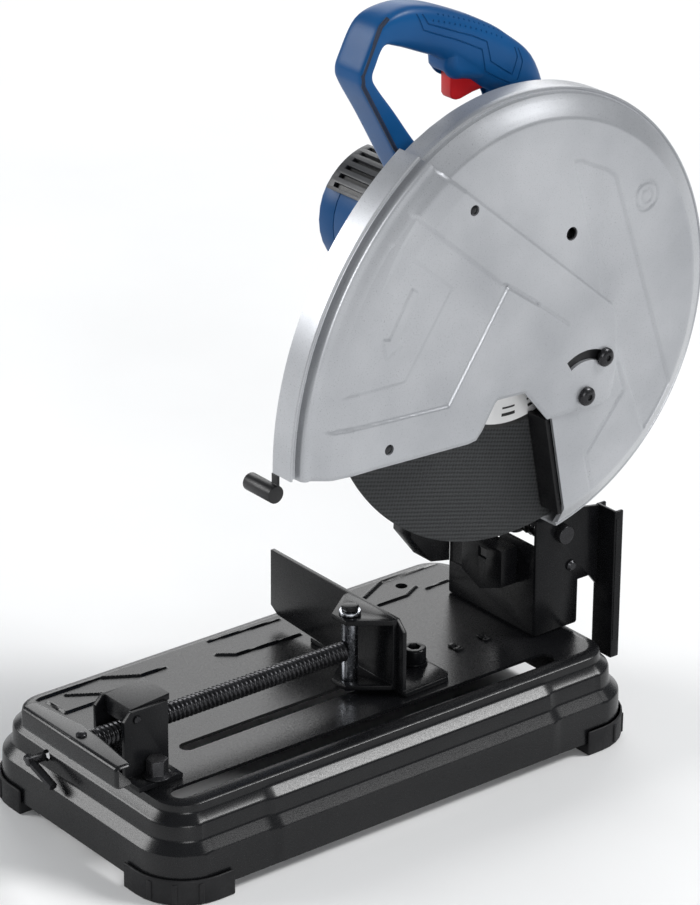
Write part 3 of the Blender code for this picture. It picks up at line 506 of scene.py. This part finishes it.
def inside(y, z, points):
    """True where (y, z) is within the closed outline."""
    hit = np.zeros(np.shape(y), bool)
    for (ay, az), (by, bz) in zip(points, points[1:] + points[:1]):
        crosses = (az > z) != (bz > z)
        at = ay + (z - az) * (by - ay) / ((bz - az) or 1e-9)
        hit ^= crosses & (y < at)
    return hit


def ease(t):
    """A smooth step from 0 to 1."""
    t = np.clip(t, 0, 1)
    return t * t * (3 - 2 * t)


def sunk(y, z, points, depth, blend):
    """A flat-bottomed recess with a sloping wall inside a closed outline."""
    d = gap_to(y, z, points, True)
    return -depth * np.clip(d / blend, 0, 1) * inside(y, z, points)


def groove(y, z, points, half, depth):
    """A rounded channel along a polyline."""
    return -depth * ease(1 - gap_to(y, z, points) / half)


def plate_of_revolution(name, centre, outer, inner, thetas, relief, relief_r):
    """A turned shell about X from (r, x) lists, middle outwards; relief lifts the outer face."""
    rings, verts = [], []
    cos = np.cos(np.radians(thetas))
    sin = np.sin(np.radians(thetas))
    for group, raised in ((outer, True), (inner[::-1], False)):
        for r, x in group:
            ys, zs = centre[0] + r * cos, centre[1] + r * sin
            if r == 0:
                ys, zs = np.array([centre[0]]), np.array([centre[1]])
            xs = np.full(len(ys), float(x))
            if raised and r <= relief_r:
                xs = xs + relief(ys, zs)
            rings.append(np.arange(len(verts), len(verts) + len(ys)))
            verts.extend(zip(xs, ys, zs))
    faces = []
    n = len(thetas)
    for one, two in zip(rings, rings[1:]):
        if len(one) == 1 and len(two) == 1:
            continue
        for i in range(n):
            j = (i + 1) % n
            quad = [one[i % len(one)], one[j % len(one)], two[j % len(two)], two[i % len(two)]]
            quad = list(dict.fromkeys(int(q) for q in quad))
            faces.append(quad)
    return raw(name, verts, faces)


# ---------------------------------------------------------------- guards
def front_guard():
    """The swinging guard: a dished shell about its own pivot, with pressed panels and a slot."""
    face, edge, back, r = FLAP_FACE, 107.5, 85.6, 274.5
    recess = [(-49.5, 513.8), (56.5, 422.8), (62, 420.2), (4.5, 336.5), (-99, 342.5), (-160, 350),
              (-230, 352), (-230, 520), (-120, 560)]
    arrow_panel = [(-69, 494.3), (7.3, 431.2), (-37, 367), (-96, 368.3), (-150, 375), (-220, 380),
                   (-220, 560)]
    arrow = [(-31.5, 440.4), (-24.5, 435), (-42.5, 402), (-39.2, 397.2), (-55.5, 388.7), (-59.5, 407),
             (-52.5, 405)]
    keep = [(159, 299.5), (164, 301.2), (168.5, 309), (172, 327), (171.5, 366), (169.5, 375), (166, 381.5),
            (-62, 572), (-200, 572), (-200, 314), (-140, 310.5), (-103, 306), (-61, 305), (24, 301.5),
            (32, 302.5), (37.5, 308.5), (50, 328), (52.5, 330), (79.5, 328.5), (102.5, 301)]
    fade_start, fade = 243, 14
    lip, lip_width = 1.3, 3.0

    def relief(y, z):
        lift = sunk(y, z, recess, 1.7, 2.4)
        lift += sunk(y, z, arrow_panel, 0.6, 1.1)
        lift -= sunk(y, z, arrow, 1.0, 1.2)
        lift += groove(y, z, [(57, 422), (90, 398.5)], 2.4, 1.3)
        lift += groove(y, z, [(90, 398.5), (121, 374.5)], 1.8, 0.6)
        lift *= 1 - ease((np.hypot(y - FLAP_PIVOT[0], z - FLAP_PIVOT[1]) - fade_start) / fade)
        return lift - lip * ease(1 - gap_to(y, z, keep, True) / lip_width)

    outer = [(q, face) for q in spaced(0, 28, 4)] + [(q, face) for q in spaced(30, 228, 1.0)]
    outer += [(q, face - 0.12 * (q - 228)) for q in spaced(229, 244, 1.0)]
    outer += [(246, face - 2.3), (248, face - 2.9), (250.5, face - 3.9), (253, face - 5.1),
              (255.5, face - 6.3), (258, face - 7.3), (260.5, face - 7.9), (262.5, face - 8.1),
              (264.5, face - 8.3), (266, face - 9.0), (267.0, face - 10.2), (267.4, face - 11.7),
              (267.8, edge - 3.6), (268.6, edge - 4.2), (271.2, edge - 4.2), (271.9, edge - 3.6),
              (272.2, edge - 0.5), (272.7, edge), (273.9, edge), (r, edge - 0.6), (r, edge - 5),
              (r, back + 0.4), (r - 0.4, back)]
    inner = [(0, face - 3.0), (228, face - 3.0), (247, face - 3.6), (265.2, face - 12.2),
             (266.4, edge - 6.3), (r - 2.5, edge - 6.3), (r - 2.5, back)]
    thetas = spaced(30, 188, 0.35) + spaced(190, 388, 2.0)
    flap = plate_of_revolution("front_guard_shell", FLAP_PIVOT, outer, inner, thetas, relief, 262)
    combine(flap, [prism("X", keep, 60, 150)], "INTERSECT")
    slot = arc(FLAP_PIVOT, 37.5, 49.5, 122, 20) + arc(FLAP_PIVOT, 28.9, 122, 49.5, 20)
    tools = [prism("X", slot, 100, 150), rod("X", (0, *FLAP_PIVOT), 4.4, 100, 150)]
    tools += [rod("X", (0, *spot), 4.2, 100, 150) for spot in FLAP_RIVETS.values()]
    combine(flap, tools)
    put(flap, ALU, "front_guard", ["guard_flap"], angle=40)
    # A thin black sheet on the fixed guard's face behind the slot: painted shadow seen through the slot.
    slot_shadow_outline = arc(FLAP_PIVOT, 38.0, 48, 124, 20) + arc(FLAP_PIVOT, 28.4, 124, 48, 20)
    put(prism("X", slot_shadow_outline, 117.35, 117.5, "guard_slot_shadow"), PLASTIC, "cutting_head",
        slot="black_plastic")
    profile = [(0, face - 0.6), (2.4, face - 0.8), (3.5, face - 1.6), (4.3, face - 2.0), (4.3, face - 2.8),
               (0, face - 2.8)]
    for name, spot in FLAP_RIVETS.items():
        put(lathe("X", (0, *spot), profile, 32, name), DARK_STEEL, "front_guard", slot="dark_steel")


def disc_guard():
    """The fixed guard: a dished shell about the disc, open below and behind, with a pressed side panel."""
    face, edge, back, r = GUARD_FACE, 104.0, 84.0, 184.0
    badge = [(122.9, 504.5), (133, 503), (148, 495.5), (158, 491), (168, 483.5), (235, 289), (205, 262),
             (166, 360), (155.7, 391.4)]
    low_left = [(175, 327.1), (182.3, 304.1), (144.7, 259.2), (152.3, 227.3)]
    emblem = (198.7, 459.7)

    def relief(y, z):
        lift = sunk(y, z, badge, 1.5, 2.0)
        lift += groove(y, z, low_left, 2.6, 1.1)
        out = np.hypot(y - emblem[0], z - emblem[1])
        lift += -0.9 * ease(1 - np.abs(out - 11.0) / 1.8) - 0.7 * ease(1 - np.abs(out - 5.2) / 1.5)
        return lift

    outer = [(q, face) for q in spaced(0, 30, 10)] + [(q, face) for q in spaced(32, 161.5, 1.1)]
    outer += [(163.2, face - 0.35), (165, face - 1.4), (170, face - 4.7), (175, face - 8.0),
              (178, face - 9.9), (179.3, face - 10.6), (180.0, edge + 0.9), (180.6, edge - 0.2),
              (181.6, edge - 0.2), (182.0, edge + 0.3), (182.6, edge + 0.6), (183.5, edge + 0.3),
              (r, edge - 0.8), (r, edge - 6), (r, back + 0.4), (r - 0.4, back), (50, back)]
    inner = [(0, face - 2.5), (162, face - 2.5), (178, edge - 1.5), (181.5, edge - 4), (181.5, back + 2.5),
             (50, back + 2.5)]
    thetas = spaced(-85, 110, 0.45) + spaced(115, 270, 5)
    shell = plate_of_revolution("disc_guard_shell", GUARD_C, outer, inner, thetas, relief, 162)
    opening = [(109.4, 298.2), (134, 170), (-160, 170), (-160, 372), (84, 345)]
    tools = [prism("X", opening, 60, 140), rod("X", (0, *FLAP_PIVOT), 4.3, 100, 130),
             rod("X", (0, *SLOT_SCREW), 4.3, 100, 130), rod("X", (0, *GUARD_EYE), 5.4, 100, 130)]
    combine(shell, tools)
    put(shell, ALU, "cutting_head", ["fixed_guard"], angle=40)
    profile = [(5.9, face - 1.3), (5.9, face - 2.4), (4.4, face - 2.4), (4.4, face - 1.3)]
    eye = lathe("X", (0, *GUARD_EYE), profile, 32, "guard_eye_bush")
    put(eye, PLASTIC, "cutting_head", slot="black_plastic")


# ---------------------------------------------------------------- base
BASE = {"half": 126.0, "front": -259.5, "rear": 205.5, "corner": 42.0, "top": 76.5}
SKIRT = [(10.0, 0.0), (12.0, 0.0), (37.6, 0.6), (39.4, 0.9), (40.6, 1.7), (46.8, 7.6), (47.9, 8.3),
         (49.2, 8.6), (59.4, 9.3), (60.6, 9.8), (61.4, 10.6), (66.6, 15.7), (67.6, 16.3), (68.9, 16.6),
         (72.0, 16.8), (73.4, 17.2), (74.4, 18.4), (75.0, 20.4), (76.1, 23.6), (76.5, 27.0)]


def skirt_path():
    """Corner centres or side points round the base, each with its outward direction."""
    h, y0, y1, c = BASE["half"], BASE["front"], BASE["rear"], BASE["corner"]
    path = []
    steps = 16
    corners = ((h - c, y1 - c, 0), (-h + c, y1 - c, 90), (-h + c, y0 + c, 180), (h - c, y0 + c, 270))
    for cx, cy, start in corners:
        for i in range(steps + 1):
            a = math.radians(start + 90 * i / steps)
            path.append((cx, cy, math.cos(a), math.sin(a)))
        nx, ny = round(math.cos(a)), round(math.sin(a))
        if abs(nx) > 0.5:
            stops = spaced(cy, y0 + c if nx < 0 else y1 - c, 4.0)[1:-1]
            path += [(cx, q, nx, 0.0) for q in stops]
        else:
            stops = spaced(cx, -h + c if ny > 0 else h - c, 4.0)[1:-1]
            path += [(q, cy, 0.0, ny) for q in stops]
    return path


def base_shell():
    """The stepped skirt, drawn in slightly along the sides except at their raised middles."""
    c = BASE["corner"]
    path = skirt_path()
    sheet = 2.5
    top_z, top_inset = SKIRT[-1]
    section = SKIRT + [(top_z - sheet, top_inset)]
    section += [(max(z - 2.2, SKIRT[0][0]), inset + sheet) for z, inset in SKIRT[-2::-1]]
    middle = (-163.0, 121.0)
    rise, draw = 2.6, 1.2
    verts = []
    for cx, cy, nx, ny in path:
        bulge = 0.0
        if abs(nx) > 0.99:
            bulge = rise * float(ease(min(cy - middle[0], middle[1] - cy) / 5.0)) - draw
        for z, inset in section:
            share = float(ease((z - 12) / 3)) * float(ease((72.0 - z) / 10.0))
            reach = c - inset + bulge * share
            verts.append((cx + nx * reach, cy + ny * reach, z))
    size, n = len(section), len(path)
    faces = []
    for p in range(n):
        q = (p + 1) % n
        for i in range(size):
            j = (i + 1) % size
            faces.append((p * size + i, q * size + i, q * size + j, p * size + j))
    return raw("base_skirt", verts, faces)


def base_table():
    """The table as a relief grid, trimmed to the inner edge of the skirt's top."""
    ribs = [([(-96, -224), (-97, -165), (-81, -138), (-80, -115)], 2.3, 1.9),
            ([(-89, -203), (-73, -177.5)], 2.1, 1.6),
            ([(-87.5, -221), (-65, -219.5), (-65, -187)], 2.2, 1.8),
            ([(-73, -69), (-64, -57), (-61, 5)], 2.3, 1.9),
            ([(-82, 88), (-96, 116), (-97, 176)], 2.4, 1.8),
            ([(-64, 88), (-64, 118), (-72, 134)], 2.2, 1.7),
            ([(-64, 139), (-65, 162)], 2.2, 1.6),
            ([(-96, -60), (-93, 8)], 2.2, 1.5)]
    margin, cell = 20, 1.2
    xs = np.array(spaced(-BASE["half"] + margin, BASE["half"] - margin, cell))
    ys = np.array(spaced(BASE["front"] + margin, BASE["rear"] - margin, cell))
    gx, gy = np.meshgrid(xs, ys)
    z = np.full(gx.shape, BASE["top"])
    for points, half, height in ribs:
        z = z + height * ease(1 - gap_to(gx, gy, points) / half)
    edge = np.minimum(BASE["half"] - np.abs(gx), np.minimum(gy - BASE["front"], BASE["rear"] - gy))
    z = np.where(edge < 25.0, BASE["top"], z)
    top = np.stack([gx, gy, z], -1).reshape(-1, 3)
    low = top.copy()
    low[:, 2] = BASE["top"] - 2.5
    rows, cols = gx.shape
    count = rows * cols
    faces = []
    for r in range(rows - 1):
        for q in range(cols - 1):
            a = r * cols + q
            faces.append((a, a + 1, a + cols + 1, a + cols))
            faces.append((count + a, count + a + cols, count + a + cols + 1, count + a + 1))
    rim = list(range(cols)) + [r * cols + cols - 1 for r in range(1, rows)]
    rim += [(rows - 1) * cols + q for q in range(cols - 2, -1, -1)]
    rim += [r * cols for r in range(rows - 2, 0, -1)]
    faces += [(a, b, count + b, count + a) for a, b in zip(rim, rim[1:] + rim[:1])]
    grid = raw("table_grid", np.concatenate([top, low]), faces)
    inset = 26
    h, y0, y1, c = BASE["half"] - inset, BASE["front"] + inset, BASE["rear"] - inset, BASE["corner"] - inset
    outline = arc((h - c, y1 - c), c, 0, 90, 16) + arc((-h + c, y1 - c), c, 90, 180, 16)
    outline += arc((-h + c, y0 + c), c, 180, 270, 16) + arc((h - c, y0 + c), c, 270, 360, 16)
    return combine(grid, [prism("Z", outline, 60, 90)], "INTERSECT")


def slot_outline(x, half, y0, y1, count=14):
    """A round-ended slot along Y."""
    return arc((x, y1 - half), half, 0, 180, count) + arc((x, y0 + half), half, 180, 360, count)


def base():
    """The pan with its slots and holes, the table's clips, and the ribbed feet."""
    pan = base_shell()
    combine(pan, [base_table()], "UNION")
    pan.name = "base_pan_shell"
    tools = [prism("Z", slot_outline(90.5, 8.5, -232, 141), 60, 90),
             prism("Z", slot_outline(35.5, 6.5, -184, 10), 60, 90), rod("Z", (-81, 126, 0), 5.0, 60, 90)]
    tools += [rod("Z", (*spot, 0), TABLE_HOLE, 60, 90) for spot in (FENCE_PIVOT, FENCE_CLAMP, NUT_BOLT)]
    tools += [rod("Y", (-48, 0, 57), 4.6, -280, -240, 20)]
    combine(pan, tools)
    put(pan, BLACK, "base", ["base_pan"], angle=24)
    for k, (x, y) in enumerate(((33.3, 89.0), (33.5, 118.0))):
        clip = block((x - 6, x + 6), (y - 3.5, y + 3.5), (76.3, 78.6), "table_clip_%d" % k)
        combine(clip, [block((x - 2, x + 2), (y - 6, y + 1), (76.9, 80))])
        soften(clip, 0.7, 3)
        put(clip, BLACK_FLAT, "base", slot="black_paint")
    corners = (("front_right", 1, -1), ("front_left", -1, -1), ("rear_right", 1, 1), ("rear_left", -1, 1))
    for name, sx, sy in corners:
        node = "foot_" + name
        rounded("rubber_" + node, node, 1.2)
        cx = sx * (BASE["half"] - BASE["corner"])
        cy = BASE["rear"] - BASE["corner"] if sy > 0 else BASE["front"] + BASE["corner"]
        for k, turn in enumerate((-26, 0, 26)):
            heading = math.atan2(sy, sx) + math.radians(turn)
            rib = block((41, 46.0), (-2.2, 2.2), (2.0, 18.0), "foot_rib_%s_%d" % (name, k))
            rib.data.transform(Matrix.Translation((0, -SHIFT * MM, 0)))
            soften(rib, 0.9, 3)
            place = Matrix.Translation((cx * MM, (cy + SHIFT) * MM, 0)) @ Matrix.Rotation(heading, 4, "Z")
            rib.data.transform(place)
            put(rib, RUBBER, "base", slot="rubber")


# ---------------------------------------------------------------- vise
def thread():
    """The clamp screw: a bar whose radius rises and falls along a right-hand helix, with plain ends."""
    radius, lo, hi, pitch, depth = 8.0, -264.5, -28.5, 4.0, 1.5
    steps = 28
    rows = int((hi - lo) / pitch * 8) + 1
    ys = np.linspace(lo, hi, rows)
    verts = []
    for y in ys:
        for i in range(steps):
            a = math.tau * i / steps
            phase = (y / pitch - i / steps) % 1.0
            crest = min(phase, 1 - phase) * 2
            ends = min(1.0, (y - lo) / 3.0, (hi - y) / 3.0)
            r = radius - depth * (1 - float(ease(crest * 1.4))) * max(ends, 0)
            verts.append((SCREW[0] + r * math.sin(a), y, SCREW[1] + r * math.cos(a)))
    bar = raw("vise_thread", verts, rings_of(rows, steps))
    axis = (SCREW[0], 0, SCREW[1])
    nose = lathe("Y", axis, [(0, -21.2), (4, -21.2), (4, hi - 2), (0, hi - 2)], 28)
    tail = lathe("Y", axis, [(0, -283.0), (4.0, -283.0), (4.0, lo + 2), (0, lo + 2)], 28)
    combine(bar, [nose, tail], "UNION")
    return put(bar, DARK_STEEL, "vise_screw", ["clamp_screw"], angle=50)


def wing():
    """The clamp screw's wing handle: a folded channel on a bored boss, with its stud and hub rivet."""
    x, z = SCREW
    reach, half = 63, 9.5
    outline = [(x - reach, -287), (x + reach, -287), (x + reach, -272), (x + 12, -265), (x - 12, -265),
               (x - reach, -272)]
    channel = prism("Z", outline, z - half, z + half, "wing_handle_skin")
    soften(channel, 4.2, 6)
    boss = lathe("Y", (x, 0, z), [(9.0, -266), (9.0, -285.5), (4.3, -285.5), (4.3, -266)], 32)
    combine(channel, [block((x - 70, x + 70), (-284.6, -250), (z - 7.3, z + 7.3))])
    combine(channel, [boss], "UNION")
    put(channel, BLACK, "vise_screw", ["wing_handle"])
    profile = [(0, z + 12.4), (2.6, z + 12.0), (4.2, z + 10.6), (4.2, z + 9.2), (0, z + 9.2)]
    put(lathe("Z", (x + 4, -277, 0), profile, 28, "wing_stud"), DARK_STEEL, "vise_screw", slot="dark_steel")
    profile = [(0, -285.6), (3.4, -285.6), (4.6, -284.6), (4.6, -283.3), (0, -283.3)]
    put(lathe("Y", (x, 0, z), profile, 28, "wing_hub_rivet"), ZINC, "vise_screw", slot="bright_steel")


def vise():
    rounded("fence_plate_skin", "fence", 0.9)
    rounded("jaw_bracket_skin", "jaw_bracket", 1.0)
    rounded("jaw_pin_skin", "jaw_pin", 0.7, ZINC, merge=3.0)
    rounded("nut_bracket_skin", "nut_bracket", 1.2)
    rounded("half_nut_skin", "half_nut", 0.5)
    rounded("release_latch_skin", "release_latch", 1.8)
    rounded("latch_pin_skin", "latch_pin", 0.5, DARK_STEEL)
    rounded("hex_key_skin", "hex_key", 0.4)
    thread()
    socket_bolt("fence_clamp_socket", FENCE_CLAMP, 9.5, 13.0, "fence_clamp_bolt")
    washer("fence_clamp_washer", FENCE_CLAMP, (10.7, 9.9), (BOLT_SEAT - 0.05, BOLT_SEAT + 1.5))
    hex_bolt("fence_pivot_hex", FENCE_PIVOT, 13.0, 8.0, "fence_pivot_bolt")
    hex_bolt("nut_bracket_hex", NUT_BOLT, 14.5, 14.0, "nut_bolt")
    wing()
    bolt = lathe("Z", (SCREW[0], -21, 0), [(0, 148.6), (7.0, 148.6), (7.0, 144.9), (0, 144.9)], 6,
                 "jaw_pin_hex")
    soften(bolt, 0.5, 2)
    put(bolt, BLACK_FLAT, "jaw_slider", slot="dark_steel")


# ---------------------------------------------------------------- hinge and arm
def hinge():
    rounded("hinge_pedestal_skin", "hinge_pedestal", 1.4)
    rounded("stop_bracket_skin", "stop_bracket", 1.2)
    rounded("stop_bolt_skin", "stop_bolt", 0.3)
    rounded("spark_guard_skin", "spark_guard", 1.0)
    rounded("pivot_bolt_skin", "pivot_bolt", 0.8, DARK_STEEL)
    rounded("pivot_nut_skin", "pivot_nut", 0.4)
    rounded("arm_casting_skin", "arm_casting", 2.0, angle=40.0)
    panel = prism("X", [(216.5, 62), (222.5, 60), (222.5, 166), (216.5, 170)], 77.4, 78.5,
                  "spark_guard_panel")
    put(panel, BLACK_FLAT, "base", slot="black_paint")
    profile = [(0, 62.2), (3.0, 61.9), (4.6, 60.4), (4.6, 58.5), (0, 58.5)]
    screw = lathe("X", (0, 186.0, 131.0), profile, 28, "pedestal_screw")
    put(screw, DARK_STEEL, "base", slot="dark_steel")


# ---------------------------------------------------------------- handle
def handle_lines():
    """The two grooves round the grip's side panel, as (Y, Z)."""
    outer = [(15.0, 624.6), (20.5, 611.8), (33, 606.3), (51.5, 598.6), (64, 592.6), (76.7, 586.0),
             (81.0, 568.1), (93, 560.5), (105.8, 553.7), (112.0, 555.5), (117.1, 568.6), (114.5, 579.0)]
    inner = [(20.5, 623.6), (25.0, 615.6), (38, 610.3), (54.2, 603.5), (68, 598), (81.5, 591.0),
             (85.7, 574.9), (96, 567.5), (106.5, 560.6), (112.0, 573.5), (110.6, 580.5)]
    return outer, inner


def handle():
    """The D handle as one swept loop, with its grooves, dimples, seam and trigger."""
    x = 48.0
    rows = [(88, 437, 45, 429, 16.0, 6), (50, 486, 20, 478, 16.0, 6), (17, 526, -1, 517, 16.0, 6),
            (-3.3, 553.5, -19, 549.5, 16.0, 6), (-20, 575, -34, 575, 16.2, 6),
            (-24.8, 584, -37.3, 585.5, 16.4, 6),
            (-22.5, 592, -33.5, 597, 16.5, 6), (-14, 605, -18.5, 622, 16.5, 5),
            (3, 600.5, 4, 630.5, 16.5, 3.4),
            (26, 591, 28, 628.2, 16.5, 2.9), (46, 582, 55, 618.6, 16.5, 2.8),
            (66, 566.5, 82, 606.2, 16.5, 2.8),
            (84, 553, 108, 590.5, 16.5, 2.8), (97, 541.5, 137, 563.5, 16.4, 2.8),
            (103.5, 505, 151, 512, 16.0, 3),
            (104, 440, 150, 428, 15.5, 3)]
    grip = sweep("handle_body", [((r[0], r[1]), (r[2], r[3]), x, r[4], r[5]) for r in spline(rows, 6)])
    lean = 42.8
    seat = arc(SPINDLE, 44.0, lean + 75, lean + 285, 40) + arc(MOTOR, 37.5, lean - 80, lean + 80, 30)
    combine(grip, [prism("X", seat, 20, 80)])
    nose = prism("X", [(46.2, 586), (47.5, 574), (54, 564.5), (66, 563.5), (86, 558), (92, 590), (60, 604)],
                 33, 63,
                 "handle_nose")
    soften(nose, 8.0, 6)
    combine(grip, [nose], "UNION")
    combine(grip, [block((41.5, 54.5), (49.0, 100.0), (535, 577))])
    tree = BVHTree.FromObject(grip, bpy.context.evaluated_depsgraph_get())

    def skin(y, z, lift=0.0):
        """The point of the right side that lies straight in from (y, z)."""
        hit, normal = tree.ray_cast(Vector((0.2, (y + SHIFT) * MM, z * MM)), Vector((-1, 0, 0)))[:2]
        spot = hit / MM + normal * lift
        return (spot.x, spot.y - SHIFT, spot.z)

    cuts = [tube([skin(y, z, -0.1) for y, z in dense(line, 2.5)], 0.75, 8) for line in handle_lines()]
    dots = []
    dimple, count, bow = 1.2, 14, 7.0
    ball = [(0, dimple), (0.85, 0.85), (dimple, 0), (0.85, -0.85), (0, -dimple)]
    for start, stop in (((30, 617.0), (98, 590.5)), ((36, 620.3), (103, 592.5))):
        for k in range(count):
            t = k / (count - 1)
            y = start[0] + (stop[0] - start[0]) * t
            z = start[1] + (stop[1] - start[1]) * t + bow * t * (1 - t)
            spot = skin(y, z, 0.35)
            dots.append(lathe("X", spot, [(r, spot[0] + h) for r, h in ball], 10))
    for k in range(3):
        y, z = 1.9 * k, -3.6 * k
        cuts.append(tube([(22 + 3 * k, y - 15.6, z + 553), (31 + 3 * k, y - 16.4, z + 546)], 0.8, 8))
    combine(grip, cuts + dots)
    put(grip, BLUE, "cutting_head", ["handle_left", "handle_right"], angle=40)
    edge = [(16, 499.5), (-5.2, 525.6), (-21.8, 555.2), (-35.2, 579.0), (-35.8, 587.0), (-24.2, 611.5),
            (-19.5, 621.0), (-13, 626.2)]
    bead = tube([(63.2, y + 1.2, z + 0.4) for y, z in dense(edge, 6)], 1.7, 10, "handle_seam")
    put(bead, SEAM, "cutting_head", slot="blue_plastic")
    trigger = prism("X", [(56, 571), (56.3, 551.5), (58.5, 548.3), (62, 547), (66, 547), (78, 550),
                          (94, 552), (95, 556), (93, 561), (80, 566), (70, 571)], 42.2, 53.8, "trigger_red")
    soften(trigger, 0.9, 3)
    put(trigger, RED, "switch_trigger", ["trigger"])
    rounded("gland_skin", "cable_gland", 0.6)


# ---------------------------------------------------------------- motor and drive
def radial_bar(angle, r0, r1, half, lo, hi, name="tool"):
    """A bar along the motor whose section points out from its middle."""
    c, s = math.cos(math.radians(angle)), math.sin(math.radians(angle))
    corners = ((r0, -half), (r1, -half), (r1, half), (r0, half))
    return prism("X", [(MOTOR[0] + r * c + w * s, MOTOR[1] + r * s - w * c) for r, w in corners], lo, hi,
                 name)


def motor():
    """The motor's shells, its slotted vent cover with painted shadow in its slots, and the guard's small parts."""
    rounded("motor_barrel", "motor_housing", 0.8)
    rounded("motor_cap", "motor_end_cap", 1.6)
    rounded("gear_case_skin", "gear_housing", 1.5)
    rounded("gear_cover_skin", "gear_cover", 1.0)
    cover = prism("X", arc(MOTOR, 55.6, 96, 149, 24) + arc(MOTOR, 50.35, 149, 96, 24), -110, 9.7,
                  "vent_grille")
    angles = [101 + 8.6 * k for k in range(6)]
    combine(cover, [radial_bar(angle, 52, 58, 1.9, -103, 3) for angle in angles])
    soften(cover, 0.7, 3)
    put(cover, GREY_PLASTIC, "cutting_head", ["vent_cover"])
    # Thin black bars on the floor of each vent slot: painted shadow.
    for k, angle in enumerate(angles):
        shadow = radial_bar(angle, 51.9, 52.3, 1.7, -102.8, 2.8, "vent_shadow_%d" % k)
        put(shadow, PLASTIC, "cutting_head", slot="black_plastic")
    rounded("spark_strip_skin", "spark_strip", 0.5)
    rounded("lift_peg_skin", "lift_peg", 1.2, PLASTIC)


def disc():
    """The cutting disc with its printed label, and the flange and bolt that hold it."""
    low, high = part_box("abrasive_disc")
    x = (low.x + high.x) / 2 / MM
    bore, r, half = 12.7, 177.5, 1.5
    profile = [(bore, x + half), (bore, x - half), (r - 0.9, x - half), (r, x - 0.9), (r, x + 0.9),
               (r - 0.9, x + half)]
    put(lathe("X", (0, *SPINDLE), profile, 160, "cutting_disc"), DISC, "spindle", ["abrasive_disc"])
    label = [(83.0, x + 1.72), (83.0, x + 1.4), (42.8, x + 1.4), (42.8, x + 1.72)]
    put(lathe("X", (0, *SPINDLE), label, 96, "disc_label"), PAPER, "spindle", slot="abrasive")
    ring = [(85.6, x + 1.8), (85.6, x + 1.4), (82.6, x + 1.4), (82.6, x + 1.8)]
    put(lathe("X", (0, *SPINDLE), ring, 96, "disc_label_edge"), INK, "spindle", slot="abrasive")
    marks, pitch = 18, 20
    for k in range(marks):
        a0, a1 = k * pitch + 3, k * pitch + (13 if k % 3 else 8)
        for r0, r1, tag in ((74.5, 77.0, "a"), (69.5, 71.0, "b")):
            bar = arc(SPINDLE, r1, a0, a1, 6) + arc(SPINDLE, r0, a1, a0, 6)
            put(prism("X", bar, x + 1.4, x + 1.84, "label_mark_%s_%d" % (tag, k)), INK, "spindle",
                slot="abrasive")
    rounded("flange_outer_skin", "flange_outer", 1.0, DARK_STEEL)
    rounded("spindle_bolt_skin", "spindle_bolt", 0.8, DARK_STEEL)


# ---------------------------------------------------------------- the whole saw
front_guard()
disc_guard()
base()
vise()
hinge()
handle()
motor()
disc()
pan_head("guard_pivot_head", FLAP_PIVOT, "flap_pivot_screw")
pan_head("guard_slot_head", SLOT_SCREW, "flap_slot_screw")

for node, thing in NODES.items():
    thing.data.materials.clear()
    thing.data.materials.append(FINISH[SLOT_OF[node]])
    shade(thing)


# ---------------------------------------------------------------- floor, light and camera
# Each lamp is a name, the direction towards it, its width in degrees and its power.
LAMPS = (("key", (-0.66, -0.62, 0.42), 28, 1.8), ("rim", (0.41, 0.57, 0.71), 20, 2.2),
         ("front", (0.88, -0.38, 0.3), 22, 1.0), ("back", (-0.72, 0.56, 0.42), 40, 0.9))


def studio():
    """A pale floor, a dim sky and soft suns."""
    floor_finish = surface("floor", (0.86, 0.86, 0.86), (0.9, 0.9, 0.9), rough=(0.7, 0.8), grain=200,
                           depth=0.00005, mottle=3)
    mesh = bpy.data.meshes.new("floor")
    half = 8.0
    corners = [(-half, -half, 0), (half, -half, 0), (half, half, 0), (-half, half, 0)]
    mesh.from_pydata(corners, [], [(0, 1, 2, 3)])
    floor = bpy.data.objects.new("floor", mesh)
    floor.location.z = -0.0002
    mesh.materials.append(floor_finish)
    bpy.context.scene.collection.objects.link(floor)
    world = bpy.data.worlds.new("studio")
    world.use_nodes = True
    sky = world.node_tree.nodes["Background"]
    sky.inputs["Color"].default_value = (0.9, 0.95, 1, 1)
    sky.inputs["Strength"].default_value = 0.22
    bpy.context.scene.world = world
    for name, toward, size, power in LAMPS:
        lamp = bpy.data.lights.new(name, "SUN")
        lamp.angle = math.radians(size)
        lamp.energy = power
        holder = bpy.data.objects.new(name, lamp)
        holder.rotation_euler = Vector(toward).to_track_quat("Z", "Y").to_euler()
        bpy.context.scene.collection.objects.link(holder)


def camera():
    """A long lens from the front right; its spot is in drawing coordinates."""
    lens = bpy.data.cameras.new("camera")
    lens.sensor_width = 36.0
    lens.lens = 156.056
    lens.clip_start, lens.clip_end = 0.1, 100.0
    holder = bpy.data.objects.new("camera", lens)
    azimuth, elevation, roll = (math.radians(angle) for angle in (-38.5806, 23.9478, 0.3766))
    flat = math.cos(elevation)
    back = Vector((flat * math.cos(azimuth), flat * math.sin(azimuth), math.sin(elevation)))
    level = Vector((0, 0, 1)).cross(back).normalized()
    right = Matrix.Rotation(roll, 3, back) @ level
    turn = Matrix((right, back.cross(right), back)).transposed().to_4x4()
    spot = Vector((2163.878, -1719.855 + SHIFT, 1487.010)) * MM
    holder.matrix_world = Matrix.Translation(spot) @ turn
    bpy.context.scene.collection.objects.link(holder)
    bpy.context.scene.camera = holder


studio()
camera()
bpy.context.scene.view_settings.view_transform = "Standard"
